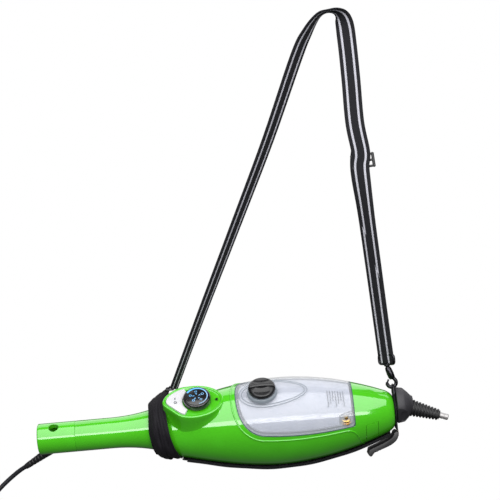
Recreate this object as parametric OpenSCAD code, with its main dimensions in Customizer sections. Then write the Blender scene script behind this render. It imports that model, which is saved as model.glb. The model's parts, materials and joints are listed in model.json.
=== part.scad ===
// Hand-held steam unit of a steam mop, hanging level from its shoulder strap.
// Row frame: origin under the strap's top, +X towards the steam outlet, +Z up.
// Unit frame: X runs from the handle's open end, Z points out through the steam dial.

/* [Hanging] */
// Upward tilt of the unit towards its outlet
hang_tilt = 5.1; // [0:0.1:10]
// Roll of the unit in its harness, dial towards the front
hang_roll = 40; // [20:1:55]
// Height of the strap's top above the handle's open end
hang_drop = 565; // [520:5:640]
// Distance of the handle's open end to the left of the strap's top
hang_reach = 379; // [340:1:400]

/* [Casing] */
// Overall length of the casing
body_len = 470; // [420:2:570]
// Length of the handle, from its open end to the neck
neck_x = 165; // [140:1:190]
// Widest place of the belly, from the open end
belly_x = 318; // [290:1:380]
// Radius of the belly at its widest
belly_r = 57.3; // [50:0.1:69]
// How far the belly's axis lies below the handle's axis
belly_drop = 5; // [0:0.5:8]
// Wall of the casing shells
shell_wall = 2.8; // [2:0.1:4]
// Outer diameter of the handle tube
tube_d = 40.5; // [38:0.5:48]
// Length of the end collar
collar_len = 50; // [40:1:60]

/* [Pole socket] */
// Diameter of the pole that plugs in
pole_d = 28; // [24:0.5:29]
// Depth of the socket
pole_depth = 48; // [36:1:56]
// Diameter of the hole for the pole's snap button
snap_d = 13; // [9:0.5:14]
// Place of that hole along the collar
snap_x = 22; // [12:1:26]

/* [Controls] */
// Centre of the steam dial
dial_x = 214; // [205:1:225]
// Diameter of the steam dial
dial_d = 36; // [28:1:42]
// Height of the steam dial
dial_h = 8; // [6:0.5:10]
// Height of the control deck above the handle's axis
deck_z = 46; // [42:0.5:52]
// Width of the control deck
deck_w = 54; // [50:1:62]
// Clearance round each moving control
control_gap = 0.5; // [0.4:0.1:0.8]

/* [Tank] */
// Front edge of the tank
tank_x = 262; // [256:1:275]
// Length of the tank
tank_len = 153; // [126:1:156]
// Height of the tank's lower edge at its front
tank_low = 22; // [18:1:26]
// Fall of that edge towards the rear
tank_fall = 5; // [0:0.5:8]
// Radius of the tank's front corner
tank_corner = 38; // [25:1:42]
// Wall of the tank
tank_wall = 2.2; // [1.6:0.1:3]
// Width of the seal round the tank
seal_w = 1.2; // [0.8:0.1:2]
// Diameter of the filler neck's hole
filler_d = 25; // [18:0.5:30]
// Diameter of the filler cap
cap_d = 35.4; // [32:0.1:42]

/* [Outlet] */
// Radius of the connector's nose
nose_r = 11; // [9:0.1:11.5]
// Radius of the connector's dome
dome_r = 21.5; // [18:0.5:24]
// Length of the connector's dome
dome_len = 22; // [18:1:28]
// Length of the ribbed boot
rib_boot_len = 38; // [30:1:50]
// Sag of the ribbed boot below the unit's axis
rib_boot_sag = 19.6; // [0:0.2:24]
// Outer radius of the steam outlet tube
outlet_r = 4; // [3:0.1:5]
// Bare length of the steam outlet tube
outlet_len = 12; // [8:1:20]
// Travel of each side button
button_travel = 2.5; // [1.5:0.1:3]

/* [Strap] */
// Width of the webbing
web_w = 25; // [20:1:30]
// Thickness of the webbing
web_t = 1.6; // [1.2:0.1:2.4]

/* [Mains cord] */
// Diameter of the mains cord
cord_d = 6; // [5:0.1:7]
// Diameter of the strain relief
boot_d = 11; // [9:0.5:13]

/* [Hidden] */
$fn = 64;

tube_r = tube_d / 2;
pole_r = pole_d / 2;
sleeve_r = tube_r - 2.5;
split_z = -belly_drop;
deck_len = 79;
deck_x0 = 169;
deck_plate = 2.5;
tank_end = tank_x + tank_len;
cap_seam_run = 26;
filler_x = tank_x + 37;
filler_z = belly_r - belly_drop + 2.7;
cap_base = filler_z + 1.5;
outlet_z = -3;
socket_wall = 2.5;
socket_r = nose_r + 0.5;
socket_x = body_len - 37;
dome_x = body_len + 4;
boot_x = dome_x + dome_len;
button_x = body_len - 32;
button_len = 16;
button_h = 24;
stem_r = 2.5;
ear_y = 22.5;
rocker_t = 6;
rocker_pin_r = 1.5;
rocker_z = deck_z - 4;
shaft_r = 3;
board_z = 14;
board_t = 1.6;
fit_gap = 0.05;

green = [0.33, 0.80, 0.12];
black = [0.05, 0.05, 0.05];
metal = [0.75, 0.75, 0.75];

// ---------------------------------------------------------------- curves and frames

function bezier(p, t) = pow(1 - t, 3) * p[0] + 3 * t * pow(1 - t, 2) * p[1]
    + 3 * t * t * (1 - t) * p[2] + pow(t, 3) * p[3];
function curve(p, n) = [for (i = [0:n]) bezier(p, i / n)];
function tail(list) = [for (i = [1:len(list) - 1]) list[i]];

front_run = belly_x - neck_x;
rear_run = body_len - 8 - belly_x;
// Outline of the belly as [x, radius]: swell, taper, rounded rear corner
belly_front = [[neck_x, 31.5], [neck_x + 0.27 * front_run, 40],
               [belly_x - 0.35 * front_run, belly_r], [belly_x, belly_r]];
belly_rear = [[belly_x, belly_r], [belly_x + 0.375 * rear_run, belly_r],
              [belly_x + 0.74 * rear_run, 43], [body_len - 8, 27.5]];
belly_corner = [[body_len - 8, 27.5], [body_len - 4, 25], [body_len, 22.5], [body_len, 18]];
belly_line = concat(curve(belly_front, 9), tail(curve(belly_rear, 9)),
                    tail(curve(belly_corner, 4)));
// Outline of the handle: straight tube, then a flare into the neck
flare = [[neck_x - 70, tube_r], [neck_x - 40, tube_r], [neck_x - 17, 25], [neck_x, 31]];

module unit() translate([-hang_reach, 0, -hang_drop]) rotate([0, -hang_tilt, 0]) children();
module rolled() unit() rotate([hang_roll, 0, 0]) children();
module along_x() rotate([0, 90, 0]) children();
module belly_axis() translate([0, 0, -belly_drop]) children();

// Solid of revolution about X from points [x, radius]
module turned(line) along_x()
    rotate_extrude() polygon(concat([[0, line[0][0]]], [for (p = line) [p[1], p[0]]],
                                    [[0, line[len(line) - 1][0]]]));

// Belly grown by d outwards, its ends moved with it
module belly(d = 0, ends = 0) belly_axis()
    turned(concat([[neck_x - ends, belly_line[0][1] + d]],
                  [for (p = tail(belly_line)) [p[0] + (p[0] > body_len - 6 ? ends : 0),
                                                p[1] + d]]));
module handle_solid(d = 0, x0 = 0) turned(concat([[x0, tube_r + d]],
    [for (p = curve(flare, 6)) [p[0], p[1] + d]]));

// Cylinder of radius r from point a to point b
module rod(a, b, r) {
    v = b - a;
    l = norm(v);
    translate(a) rotate([0, acos(v[2] / l), atan2(v[1], v[0])]) cylinder(h = l, r = r);
}

module block(x, y, z) translate([x[0], y[0], z[0]])
    cube([x[1] - x[0], y[1] - y[0], z[1] - z[0]]);

// Prism across the unit from an outline in its XZ plane
module across(w) rotate([90, 0, 0]) linear_extrude(height = w, center = true) children();

// Closed tube skin swept along points, with section offsets [u, v] per ring
function flat(list) = [for (a = list) for (b = a) b];
module swept(rings) {
    n = len(rings);
    m = len(rings[0]);
    sides = [for (i = [0:n - 2]) for (j = [0:m - 1]) for (up = [0, 1])
        let (a = i * m + j, b = i * m + (j + 1) % m, c = b + m, d = a + m)
            up == 0 ? [a, b, c] : [a, c, d]];
    ends = [[for (j = [m - 1:-1:0]) j], [for (j = [0:m - 1]) (n - 1) * m + j]];
    polyhedron(points = flat(rings), faces = concat(sides, ends), convexity = 8);
}
function unit_v(v) = v / norm(v);
function catmull(a, b, c, d, t) = 0.5 * (2 * b + (c - a) * t
    + (2 * a - 5 * b + 4 * c - d) * t * t + (3 * b - a - 3 * c + d) * t * t * t);
function smooth(p, n) = concat([for (i = [0:len(p) - 2]) for (k = [0:n - 1])
    catmull(p[max(i - 1, 0)], p[i], p[i + 1], p[min(i + 2, len(p) - 1)], k / n)],
    [p[len(p) - 1]]);

// ---------------------------------------------------------------- casing

// Outline of the tank seen from the side, grown by g
module tank_outline(g = 0) across(180) polygon(concat(
    [[tank_end + g, 90], [tank_x - g, 90]],
    [for (a = [180:10:260]) [tank_x + tank_corner + (tank_corner + g) * cos(a),
                             tank_low + tank_corner + (tank_corner + g) * sin(a)]],
    [[tank_x + tank_corner, tank_low - g], [tank_end + g, tank_low - tank_fall - g]]));

// All that lies behind the slanted seam of the rear cap
module rear_part() across(180) polygon([
    [tank_end, 90], [tank_end, tank_low - tank_fall - seal_w],
    [tank_end + cap_seam_run, -belly_r - 20], [body_len + 60, -belly_r - 20],
    [body_len + 60, 90]]);

// Pear outline of the deck, narrower in front of the dial
function ease(t) = let (c = min(max(t, 0), 1)) c * c * (3 - 2 * c);
function deck_point(a, g) = [deck_x0 + deck_len / 2 + (deck_len / 2 + g) * cos(a),
    (deck_w / 2 * 1.05 * (1 - 0.45 * ease((-cos(a) - 0.35) / 0.65)) + g) * sin(a)];
module deck_outline(g = 0) polygon([for (a = [0:10:350]) deck_point(a, g)]);

module belly_skin() difference() {
    belly();
    belly(-shell_wall, -shell_wall);
    // the handle's inside runs through into the neck
    along_x() translate([0, 0, neck_x - 10]) cylinder(h = 20, r = 24);
}

module shell_boss_places() for (p = [[300, 40], [355, 38], [240, 34]]) for (s = [-1, 1])
    translate([p[0], s * p[1], 0]) children();

module lower_shell() color(green) rolled() difference() {
    union() {
        intersection() {
            belly_skin();
            block([0, body_len + 10], [-90, 90], [-100, split_z]);
        }
        intersection() {
            shell_boss_places() translate([0, 0, -80]) cylinder(h = 80 + split_z, r = 4, $fn = 24);
            belly(-shell_wall + 0.4, -shell_wall);
        }
    }
    rear_part();
    shell_boss_places() {
        translate([0, 0, -80]) cylinder(h = 90, r = 1.6, $fn = 24);
        translate([0, 0, -80]) cylinder(h = 57, r = 3.4, $fn = 24);
    }
}

module upper_shell() color(green) rolled() difference() {
    intersection() {
        belly_skin();
        block([0, body_len + 10], [-90, 90], [split_z, 100]);
    }
    rear_part();
    tank_outline(seal_w);
    linear_extrude(height = 90) deck_outline(-6);
    block([179.6, 194.4], [-9.4, 9.4], [0, 90]);
}

module upper_deck() color(green) rolled() difference() {
    linear_extrude(height = deck_z) deck_outline();
    linear_extrude(height = deck_z - deck_plate) deck_outline(-2.4);
    belly();
    handle_solid(0.1);
    translate([dial_x, 0, 0]) cylinder(h = 80, r = shaft_r + 0.8);
    translate([0, 0, deck_z - 10]) linear_extrude(height = 20) rocker_outline(control_gap);
}

module rear_cap() color(green) rolled() difference() {
    intersection() {
        belly_skin();
        rear_part();
    }
    translate([0, 0, outlet_z]) along_x() cylinder(h = body_len + 20, r = socket_r + socket_wall);
    for (s = [-1, 1]) button_block(s, 0.4);
}

module handle_tube() color(green) rolled() difference() {
    handle_solid(0, collar_len);
    handle_solid(-3, collar_len - 1);
    along_x() cylinder(h = pole_depth + 4, r = sleeve_r + fit_gap);
    along_x() translate([0, 0, neck_x - 1]) cylinder(h = 20, r = 24);
}

lead_r = 1.3;
lead_z = -15.8;
boot_slope = 37;
boot_root = [20, 0, -16];
boot_len = 58;
boot_dir = [-cos(boot_slope), 0, -sin(boot_slope)];
boot_tip = boot_root + boot_len * boot_dir;

module handle_collar() color(green) rolled() difference() {
    along_x() cylinder(h = collar_len, r = tube_r);
    along_x() translate([0, 0, -1]) cylinder(h = collar_len + 2, r = sleeve_r);
    translate([snap_x, 0, 0]) cylinder(h = tube_r + 5, r = snap_d / 2);
    rod(boot_root - 8 * boot_dir, boot_tip, boot_d / 2);
}

module pole_sleeve() color(black) rolled() difference() {
    along_x() translate([0, 0, 0.5]) cylinder(h = pole_depth + 3, r = sleeve_r);
    along_x() translate([0, 0, -1]) cylinder(h = pole_depth + 1, r = pole_r);
    translate([snap_x, 0, 0]) cylinder(h = tube_r + 5, r = snap_d / 2);
    // channel for the leads from the strain relief
    rod([14, 0, lead_z], [80, 0, lead_z], lead_r + 0.1);
}

// ---------------------------------------------------------------- tank

tub_x = [tank_x + 28, tank_end - 23];
tub_y = 24;
tub_z = -2;

module water_tank() color([0.8, 0.85, 0.9, 0.5]) rolled() difference() {
    union() {
        intersection() {
            belly();
            tank_outline();
        }
        block(tub_x, [-tub_y, tub_y], [tub_z, tank_low]);
        translate([filler_x, 0, filler_z - 8]) cylinder(h = 8, r = filler_d / 2 + 2.5);
    }
    intersection() {
        belly(-tank_wall);
        tank_outline(-tank_wall);
    }
    block([tub_x[0] + tank_wall, tub_x[1] - tank_wall], [tank_wall - tub_y, tub_y - tank_wall],
          [tub_z + tank_wall, tank_low + 10]);
    translate([filler_x, 0, tank_low + 8]) cylinder(h = 60, r = filler_d / 2);
}

module tank_gasket() color([0.2, 0.22, 0.25]) rolled() difference() {
    intersection() {
        belly(0.3);
        tank_outline(seal_w);
        block([0, tank_end + seal_w / 2], [-90, 90], [-50, 90]);
    }
    belly(-shell_wall, 0);
    tank_outline(0);
    rear_part();
}

fitting = [tank_end - 11, -31];

module pickup_fitting() color([0.72, 0.53, 0.2]) rolled() difference() {
    z0 = tank_low - tank_fall * 0.86 + tank_wall;
    intersection() {
        translate([fitting[0], fitting[1], z0 - 2]) cylinder(h = 9.8, r = 5, $fn = 6);
        belly(-tank_wall);
        tank_outline(-tank_wall);
    }
    translate([fitting[0], fitting[1], z0 + 4.8]) difference() {
        cylinder(h = 10, r = 8);
        cylinder(h = 30, r = 2.6, center = true);
    }
    translate([fitting[0], fitting[1], z0 - 9]) cylinder(h = 30, r = 1.4);
}

pump_axis_z = -20;
pump_inlet = [253.4, -9, -12];

// Round run through points, its corners a little fatter than its stretches
module run(points, r) {
    for (i = [0:len(points) - 2]) rod(points[i], points[i + 1], r);
    for (i = [1:len(points) - 2]) translate(points[i]) sphere(r = r + 0.25);
}

module suction_hose() color([0.85, 0.85, 0.8]) rolled()
    run([[fitting[0], fitting[1], tank_low - tank_fall - 1], [fitting[0], fitting[1], -8],
         [262, fitting[1], -8], [262, pump_inlet[1], pump_inlet[2]],
         pump_inlet + [0.1, 0, 0]], 2.5);

module cap_knob() color(black) rolled() translate([filler_x, 0, cap_base]) {
    r = cap_d / 2;
    rotate_extrude() polygon(concat([[0, 0], [r, 0], [r, 3]],
        [for (a = [10:10:90]) [r * cos(a), 3 + 5.5 * sin(a)]]));
    intersection() {
        translate([-r + 1.5, -3.5, 6]) cube([2 * r - 3, 7, 4.6]);
        cylinder(h = 30, r = r - 1);
    }
}

module cap_insert() color([0.15, 0.15, 0.15]) rolled() translate([filler_x, 0, 0])
    difference() {
        translate([0, 0, cap_base - 13]) cylinder(h = 13, r = filler_d / 2 - 0.5);
        translate([0, 0, cap_base - 14]) cylinder(h = 11, r = filler_d / 2 - 3);
    }

module cap_gasket() color([0.6, 0.6, 0.6]) rolled() translate([filler_x, 0, filler_z])
    difference() {
        cylinder(h = cap_base - filler_z, r = filler_d / 2 + 2.4);
        translate([0, 0, -1]) cylinder(h = 5, r = filler_d / 2 + 0.1);
    }

// ---------------------------------------------------------------- inside the casing

module pump() color([0.25, 0.25, 0.28]) rolled() {
    translate([0, 0, pump_axis_z]) along_x() {
        translate([0, 0, 188]) cylinder(h = 57, r = 14);
        for (x = [192, 232]) translate([0, 0, x]) cylinder(h = 8, r = 15.5);
        translate([0, 0, 245]) cylinder(h = 12, r = 3);
    }
    rod([245, pump_inlet[1], pump_inlet[2]], pump_inlet, 2);
}

module pump_tube() color([0.85, 0.85, 0.8]) rolled() translate([257, 0, pump_axis_z]) along_x()
    difference() {
        cylinder(h = 35, r = 2.8);
        translate([0, 0, -1]) cylinder(h = 40, r = 1.4);
    }

boiler_x = [292, 380];
boiler_z = [-40, -12];

module boiler() color([0.7, 0.72, 0.74]) rolled() {
    block(boiler_x, [-22, 22], boiler_z);
    for (x = [304 : 16 : 368]) block([x, x + 4], [-25, 25], [boiler_z[0] + 3, boiler_z[1] - 3]);
    for (y = [-14, 14]) rod([380, y, -30], [392, y, -30], 2.2);
}

module thermostat() color([0.8, 0.78, 0.7]) rolled()
    translate([320, 0, boiler_z[1]]) cylinder(h = 5, r = 8);

module thermal_fuse() color([0.75, 0.75, 0.7]) rolled()
    rod([342, 10, boiler_z[1] + 2.5], [358, 10, boiler_z[1] + 2.5], 2.5);

module steam_pipe() color([0.72, 0.45, 0.2]) rolled() {
    low = [400, 0, pump_axis_z];
    high = [400, 0, outlet_z];
    rod([boiler_x[1], 0, pump_axis_z], low, 3);
    translate(low) sphere(r = 3);
    rod(low, high, 3);
    translate(high) sphere(r = 3);
    rod(high, [socket_x, 0, outlet_z], 3);
}

module outlet_socket() color(black) rolled() difference() {
    union() {
        translate([0, 0, outlet_z]) along_x() translate([0, 0, socket_x])
            cylinder(h = body_len - socket_x, r = socket_r + socket_wall);
        block([socket_x, button_x + 6], [-ear_y, ear_y], [outlet_z - 6, outlet_z + 6]);
    }
    translate([0, 0, outlet_z]) along_x() {
        translate([0, 0, socket_x + 3]) cylinder(h = 60, r = socket_r);
        translate([0, 0, socket_x - 1]) cylinder(h = 10, r = 1.8);
    }
    rod([button_x, -40, outlet_z], [button_x, 40, outlet_z], stem_r + fit_gap);
}

module circuit_board() color([0.1, 0.4, 0.2]) rolled() difference() {
    block([180, 248], [-18, 18], [board_z, board_z + board_t]);
    for (x = [184, 244]) for (y = [-14, 14])
        translate([x, y, 0]) cylinder(h = 30, r = 1.6, $fn = 24);
}

module dial_control() color([0.3, 0.3, 0.35]) rolled() difference() {
    translate([dial_x, 0, board_z + board_t]) {
        cylinder(h = 8, r = 8);
        cylinder(h = 14, r = 4.5);
    }
    translate([dial_x, 0, board_z + board_t + 2]) cylinder(h = 30, r = shaft_r + fit_gap);
}

module switch_module() color([0.9, 0.9, 0.88]) rolled() {
    block([180, 194], [-9, 9], [board_z + board_t, rocker_z - 7]);
    block([183, 191], [4.5, 7.5], [rocker_z - 7, rocker_z - 5.5]);
}

module terminal_block() color([0.9, 0.9, 0.85]) rolled() difference() {
    block([256, 280], [-15, 15], [-2, 10]);
    for (y = [-10, 0, 10]) translate([268, y, 0]) cylinder(h = 20, r = 3, $fn = 24);
}

module wire_loom() color([0.6, 0.25, 0.1]) rolled()
    run([[19, 0, lead_z], [84, 0, lead_z], [104, 0, 4], [256, 0, 4]], lead_r);

module cord_clamp() color(black) rolled()
    block([56, 76], [-8, 8], [lead_z + lead_r + fit_gap, -10.8]);

module shell_screws() color(metal) rolled() shell_boss_places() {
    translate([0, 0, -23]) cylinder(h = 16, r = 1.5, $fn = 24);
    translate([0, 0, -25.1]) cylinder(h = 2.1, r = 3, $fn = 24);
}

// ---------------------------------------------------------------- controls

module steam_dial() color(black) rolled() translate([dial_x, 0, deck_z + 0.4]) difference() {
    r = dial_d / 2;
    rotate_extrude() polygon([[0, 0], [r, 0], [r, dial_h - 1.5], [r - 0.6, dial_h - 0.5],
                              [r - 1.4, dial_h], [0, dial_h]]);
    translate([0, 0, -1]) cylinder(h = dial_h - 2, r = shaft_r);
}

module dial_face() color([0.1, 0.25, 0.4]) rolled()
    translate([dial_x, 0, deck_z + 0.4 + dial_h]) cylinder(h = 0.5, r = dial_d / 2 - 2);

module dial_shaft() color(metal) rolled()
    translate([dial_x, 0, board_z + board_t + 2.5])
        cylinder(h = deck_z + 0.4 + dial_h - 3 - board_z - board_t - 2.5, r = shaft_r);

// Crescent in front of the dial
module rocker_outline(g = 0) difference() {
    intersection() {
        deck_outline(-3.4 + g);
        translate([deck_x0, -deck_w]) square([dial_x - 17 + g - deck_x0, 2 * deck_w]);
    }
    translate([dial_x, 0]) circle(r = dial_d / 2 + 1.2 - g);
}

module power_switch() color([0.92, 0.92, 0.92]) rolled() difference() {
    translate([0, 0, deck_z + 1.2 - rocker_t]) linear_extrude(height = rocker_t) rocker_outline();
    rod([deck_x0 - 10, 0, rocker_z], [dial_x, 0, rocker_z], rocker_pin_r + fit_gap);
}

module switch_pin() color(metal) rolled()
    rod([deck_x0 + 3, 0, rocker_z], [dial_x - 20, 0, rocker_z], rocker_pin_r);

// Pointer in low relief on the deck, or on the belly where that stands higher
module pointer_mark() color(black) rolled() difference() {
    intersection() {
        translate([deck_x0 + deck_len - 9, 0, 0]) linear_extrude(height = 90)
            polygon([[-2.6, 0], [1.8, -2.3], [1.8, 2.3]]);
        union() {
            belly(0.6);
            block([deck_x0, deck_x0 + deck_len], [-10, 10], [0, deck_z + 0.6]);
        }
    }
    belly();
    block([deck_x0, deck_x0 + deck_len], [-10, 10], [0, deck_z]);
}

// Block of a side button, s is -1 for the front side, grown by g
module button_block(s, g = 0) intersection() {
    block([button_x - button_len / 2 - g, button_x + button_len / 2 + g], [-60, 60],
          [outlet_z - button_h / 2 - g, outlet_z + button_h / 2 + g]);
    translate([0, s * 50, 0]) cube([2 * body_len + 200, 60, 100], center = true);
}

module release_button(s) color(green) rolled() {
    intersection() {
        difference() {
            belly();
            belly(-shell_wall - 1.2);
        }
        button_block(s);
    }
    rod([button_x, s * 34, outlet_z], [button_x, s * 18.2, outlet_z], stem_r);
}
module release_button_left() release_button(-1);
module release_button_right() release_button(1);

// Spring drawn at its pressed length, seated on the socket's ear
module release_spring(s) color(metal) rolled() translate([button_x, s * ear_y, outlet_z])
    rotate([-90 * s, 0, 0]) {
        steps = 40;
        pitch = 1.3;
        swept([for (i = [0:steps]) let (a = i * 36)
            [for (j = [0:5]) let (rr = 3.7 + 0.4 * cos(60 * j))
                [rr * cos(a), rr * sin(a), 0.45 + pitch * a / 360 + 0.4 * sin(60 * j)]]]);
    }
module release_spring_left() release_spring(-1);
module release_spring_right() release_spring(1);

// ---------------------------------------------------------------- connector

module boot_frame() translate([boot_x - 2, 0, outlet_z]) rotate([-hang_roll, 0, 0])
    rotate([0, rib_boot_sag, 0]) children();

module connector_body() color([0.08, 0.08, 0.09]) rolled() difference() {
    union() {
        translate([0, 0, outlet_z]) turned(concat([[socket_x + 7, nose_r], [dome_x, nose_r],
            [dome_x, dome_r]], [for (a = [0:10:80]) [dome_x + 6 + (dome_len - 6) * sin(a),
            11 + (dome_r - 11) * cos(a)]], [[boot_x, 11]]));
    }
    // flats on both sides
    for (s = [-1, 1]) translate([0, s * (dome_r - 2 + 20), 0])
        cube([2 * (boot_x + 10), 40, 120], center = true);
    translate([0, 0, outlet_z]) along_x() {
        translate([0, 0, socket_x]) cylinder(h = 100, r = 2.5);
        translate([0, 0, socket_x + 12]) difference() {
            cylinder(h = 3, r = 30);
            translate([0, 0, -1]) cylinder(h = 5, r = nose_r - 1.6);
        }
    }
    boot_frame() translate([0, -40, -40]) cube(80);
}

module connector_seal() color([0.5, 0.15, 0.1]) rolled() translate([0, 0, outlet_z])
    along_x() translate([0, 0, socket_x + 13.5]) rotate_extrude()
        translate([nose_r - 0.7, 0]) circle(r = 0.9, $fn = 16);

module ribbed_boot() color(black) rolled() boot_frame() {
    ribs = 9;
    pitch = rib_boot_len / ribs;
    difference() {
        turned(flat([for (i = [0:ribs - 1])
            let (r = 10.2 - 0.42 * i) [[i * pitch, r], [i * pitch + 0.6 * pitch, r - 0.2],
                [i * pitch + 0.6 * pitch, r - 1.6], [(i + 1) * pitch, r - 1.8]]]));
        along_x() translate([0, 0, 4]) cylinder(h = rib_boot_len, r = outlet_r - 0.3);
    }
}

module outlet_tube() color(metal) rolled() boot_frame() along_x() difference() {
    union() {
        translate([0, 0, 4]) cylinder(h = rib_boot_len, r = outlet_r - 0.3);
        translate([0, 0, rib_boot_len]) cylinder(h = outlet_len, r = outlet_r);
    }
    translate([0, 0, 3]) cylinder(h = rib_boot_len + 20, r = outlet_r - 1.2);
}

// ---------------------------------------------------------------- harness

strap_y = 2;
belt_top = [neck_x + 13, 50];
ring_x = body_len + 1.8;
ring_z = 18.5;
ring_r = 12;
wire_r = 1.3;
hook_z = ring_z + ring_r + 2.8;
eye_z = hook_z + 31;

module neck_belt() color([0.12, 0.12, 0.13]) difference() {
    unit() hull() {
        translate([neck_x - 16, 1, 1]) rotate([0, 96, 0]) cylinder(h = 1, r = 28, $fn = 40);
        translate([neck_x + 6, 3, -3]) rotate([0, 96, 0]) cylinder(h = 6, r = 37.5, $fn = 40);
        translate([belt_top[0] - 2, strap_y, belt_top[1] - 1]) cube([5, web_w, 2], center = true);
    }
    rolled() {
        belly();
        handle_solid();
        linear_extrude(height = deck_z + 2) deck_outline(0.2);
    }
}

module belt_loop() color(black) unit() translate([belt_top[0], strap_y, belt_top[1] + 3])
    difference() {
        cube([10, web_w + 6, 6], center = true);
        translate([0, 0, 1]) cube([7, web_w + 1, 6], center = true);
    }

module under_strap() color(black) difference() {
    intersection() {
        rolled() belly(4.2);
        unit() block([neck_x + 22, body_len - 9], [strap_y - web_w / 2, strap_y + web_w / 2],
                     [-120, -20]);
    }
    rolled() belly(0.4, 1);
}

module end_loop() color(black) unit() translate([body_len + 0.7, 0, 0]) rotate([90, 0, 90])
    linear_extrude(height = 2.2) difference() {
        union() {
            translate([strap_y - web_w / 2, -28]) square([web_w, 28 + ring_z - wire_r - 0.1]);
            translate([2, -2]) circle(r = nose_r + 7);
        }
        translate([2, -2.3]) circle(r = nose_r + 1.5);
    }

module harness_buckle() color(black) unit() translate([0, strap_y, 0]) difference() {
    across(web_w + 5) polygon(concat(
        [[body_len - 39, -59], [body_len - 33, -60]],
        [for (p = curve([[body_len - 30, -55], [body_len - 16, -49], [body_len + 3, -47],
                         [body_len + 3, -31]], 8)) p],
        [[body_len - 2, -30]],
        [for (p = curve([[body_len - 3, -33], [body_len - 4, -40], [body_len - 18, -43.5],
                         [body_len - 37, -51]], 8)) p]));
    translate([body_len - 15, 0, -44]) rotate([0, 22, 0]) cube([3, web_w + 1, 40], center = true);
}

module size_tag() color([0.8, 0.74, 0.62]) unit()
    block([body_len + 3.2, body_len + 3.9], [strap_y - 6, strap_y + 6], [-37, -28]);

module d_ring() color(metal) unit() translate([ring_x, strap_y, ring_z]) {
    difference() {
        rotate([0, 90, 0]) rotate_extrude() translate([ring_r, 0]) circle(r = wire_r, $fn = 24);
        translate([0, 0, -50]) cube(100, center = true);
    }
    rod([0, -ring_r - wire_r, 0], [0, ring_r + wire_r, 0], wire_r);
}

gate_pin = [-5.9, 0, -0.6];
gate_r = 1.3;
pin_r = 0.6;
swivel = [-4, 0, 22];
module across_pin(w, r) translate(gate_pin) rotate([90, 0, 0])
    cylinder(h = w, r = r, center = true);

// Open hook with its gap at the left, its gate pinned in a fork at the gap's lower end
module snap_hook() color(metal) unit() translate([ring_x - 1, strap_y, hook_z]) {
    difference() {
        rotate([90, 0, 0]) rotate_extrude() translate([6, 0]) circle(r = 1.7, $fn = 24);
        translate([-6.5, 0, 3]) rotate([0, 20, 0]) cube([7, 10, 9], center = true);
        across_pin(10, gate_r + 0.3);
    }
    difference() {
        union() {
            across_pin(5.2, 1.9);
            translate(gate_pin + [0.5, 0, -2.4]) cube([2.6, 5.2, 1.6], center = true);
        }
        across_pin(3.6, 2.2);
        across_pin(10, pin_r + fit_gap);
    }
    rod([2.2, 0, 6.6], swivel, 2.2);
    translate(swivel) cylinder(h = 3, r = 4);
}

module hook_gate() color(metal) unit() translate([ring_x - 1, strap_y, hook_z]) {
    across_pin(3, gate_r);
    across_pin(5.2, pin_r);
    rod(gate_pin, [-3.9, 0, 3.9], 1.1);
}

eye_turn = 42;
module hook_eye() color(metal) unit() translate([ring_x - 5, strap_y, eye_z])
    rotate([0, 0, eye_turn]) difference() {
    cube([3, web_w + 7, 12], center = true);
    translate([0, 0, 0.5]) cube([10, web_w + 1, 6], center = true);
}

// Strap route: [x, z, turn of the webbing's width about the route, thickness in layers]
left_end = unit_point([belt_top[0] - 1, belt_top[1] + 1.5]);
right_end = unit_point([ring_x - 5, eye_z + 1]);
function unit_point(p) = [p[0] * cos(hang_tilt) - p[1] * sin(hang_tilt) - hang_reach,
                          p[0] * sin(hang_tilt) + p[1] * cos(hang_tilt) - hang_drop];
function leg(a, b, t, bow) = [a[0] + (b[0] - a[0]) * t + bow, a[1] + (b[1] - a[1]) * t];
top_left = [-40, -60];
top_right = [28, -42];
strap_route = concat(
    [for (s = [[0, 0, 0], [0.03, 0, -4], [0.25, 1, -24], [0.5, 2, -30], [0.75, 3, -35],
               [1, 0, -39]])
        concat(leg(left_end, top_left, s[0], s[1]), [s[2], 1])],
    [[-26, -28, -30, 1], [-12, -6, -12, 1], [1, 1, 0, 1], [14, 0, -15, 1], [23, -12, -60, 1],
     [top_right[0], top_right[1], -90, 1], [33, -90, -90, 1], [38, -146, -90, 1],
     [46, -186, -90, 1]],
    [for (s = [[0, 0, -78], [0.2, 0, -50], [0.5, 0, -44], [0.8, 0, -eye_turn], [1, 0, -eye_turn]])
        concat(leg([46, -207], right_end, s[0], s[1]), [s[2], 2])]);

// Section corners of the webbing at place p, facing along tangent t
function web_ring(p, t) = let (
    u = [t[1], -t[0]],
    a = p[2], w = web_w / 2, h = p[3] * web_t / 2,
    wide = [u[0] * sin(a), -cos(a), u[1] * sin(a)],
    thick = [u[0] * cos(a), sin(a), u[1] * cos(a)])
    [for (c = [[-1, -1], [1, -1], [1, 1], [-1, 1]])
        [p[0], strap_y * (abs(p[1]) > 400 ? 1 : 0), p[1]] + c[0] * w * wide + c[1] * h * thick];

module shoulder_strap() color([0.1, 0.1, 0.1]) {
    line = smooth(strap_route, 3);
    n = len(line);
    swept([for (i = [0:n - 1]) let (a = line[max(i - 1, 0)], b = line[min(i + 1, n - 1)])
        web_ring(line[i], unit_v([b[0] - a[0], b[1] - a[1]]))]);
}

module strap_slider() color(black) translate([46.8, 0, -197]) rotate([0, 3, 0]) difference() {
    cube([web_w + 6, 5, 20], center = true);
    cube([web_w + 1, 2 * web_t + 0.3, 30], center = true);
}

// ---------------------------------------------------------------- mains cord

module cord_boot() color(black) rolled() difference() {
    union() {
        rod(boot_root, boot_root + (boot_len - 6) * boot_dir, boot_d / 2);
        rod(boot_root + (boot_len - 6) * boot_dir, boot_tip, boot_d / 2 - 1.2);
    }
    along_x() translate([0, 0, -60]) cylinder(h = 120 + collar_len, r = sleeve_r);
}

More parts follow.
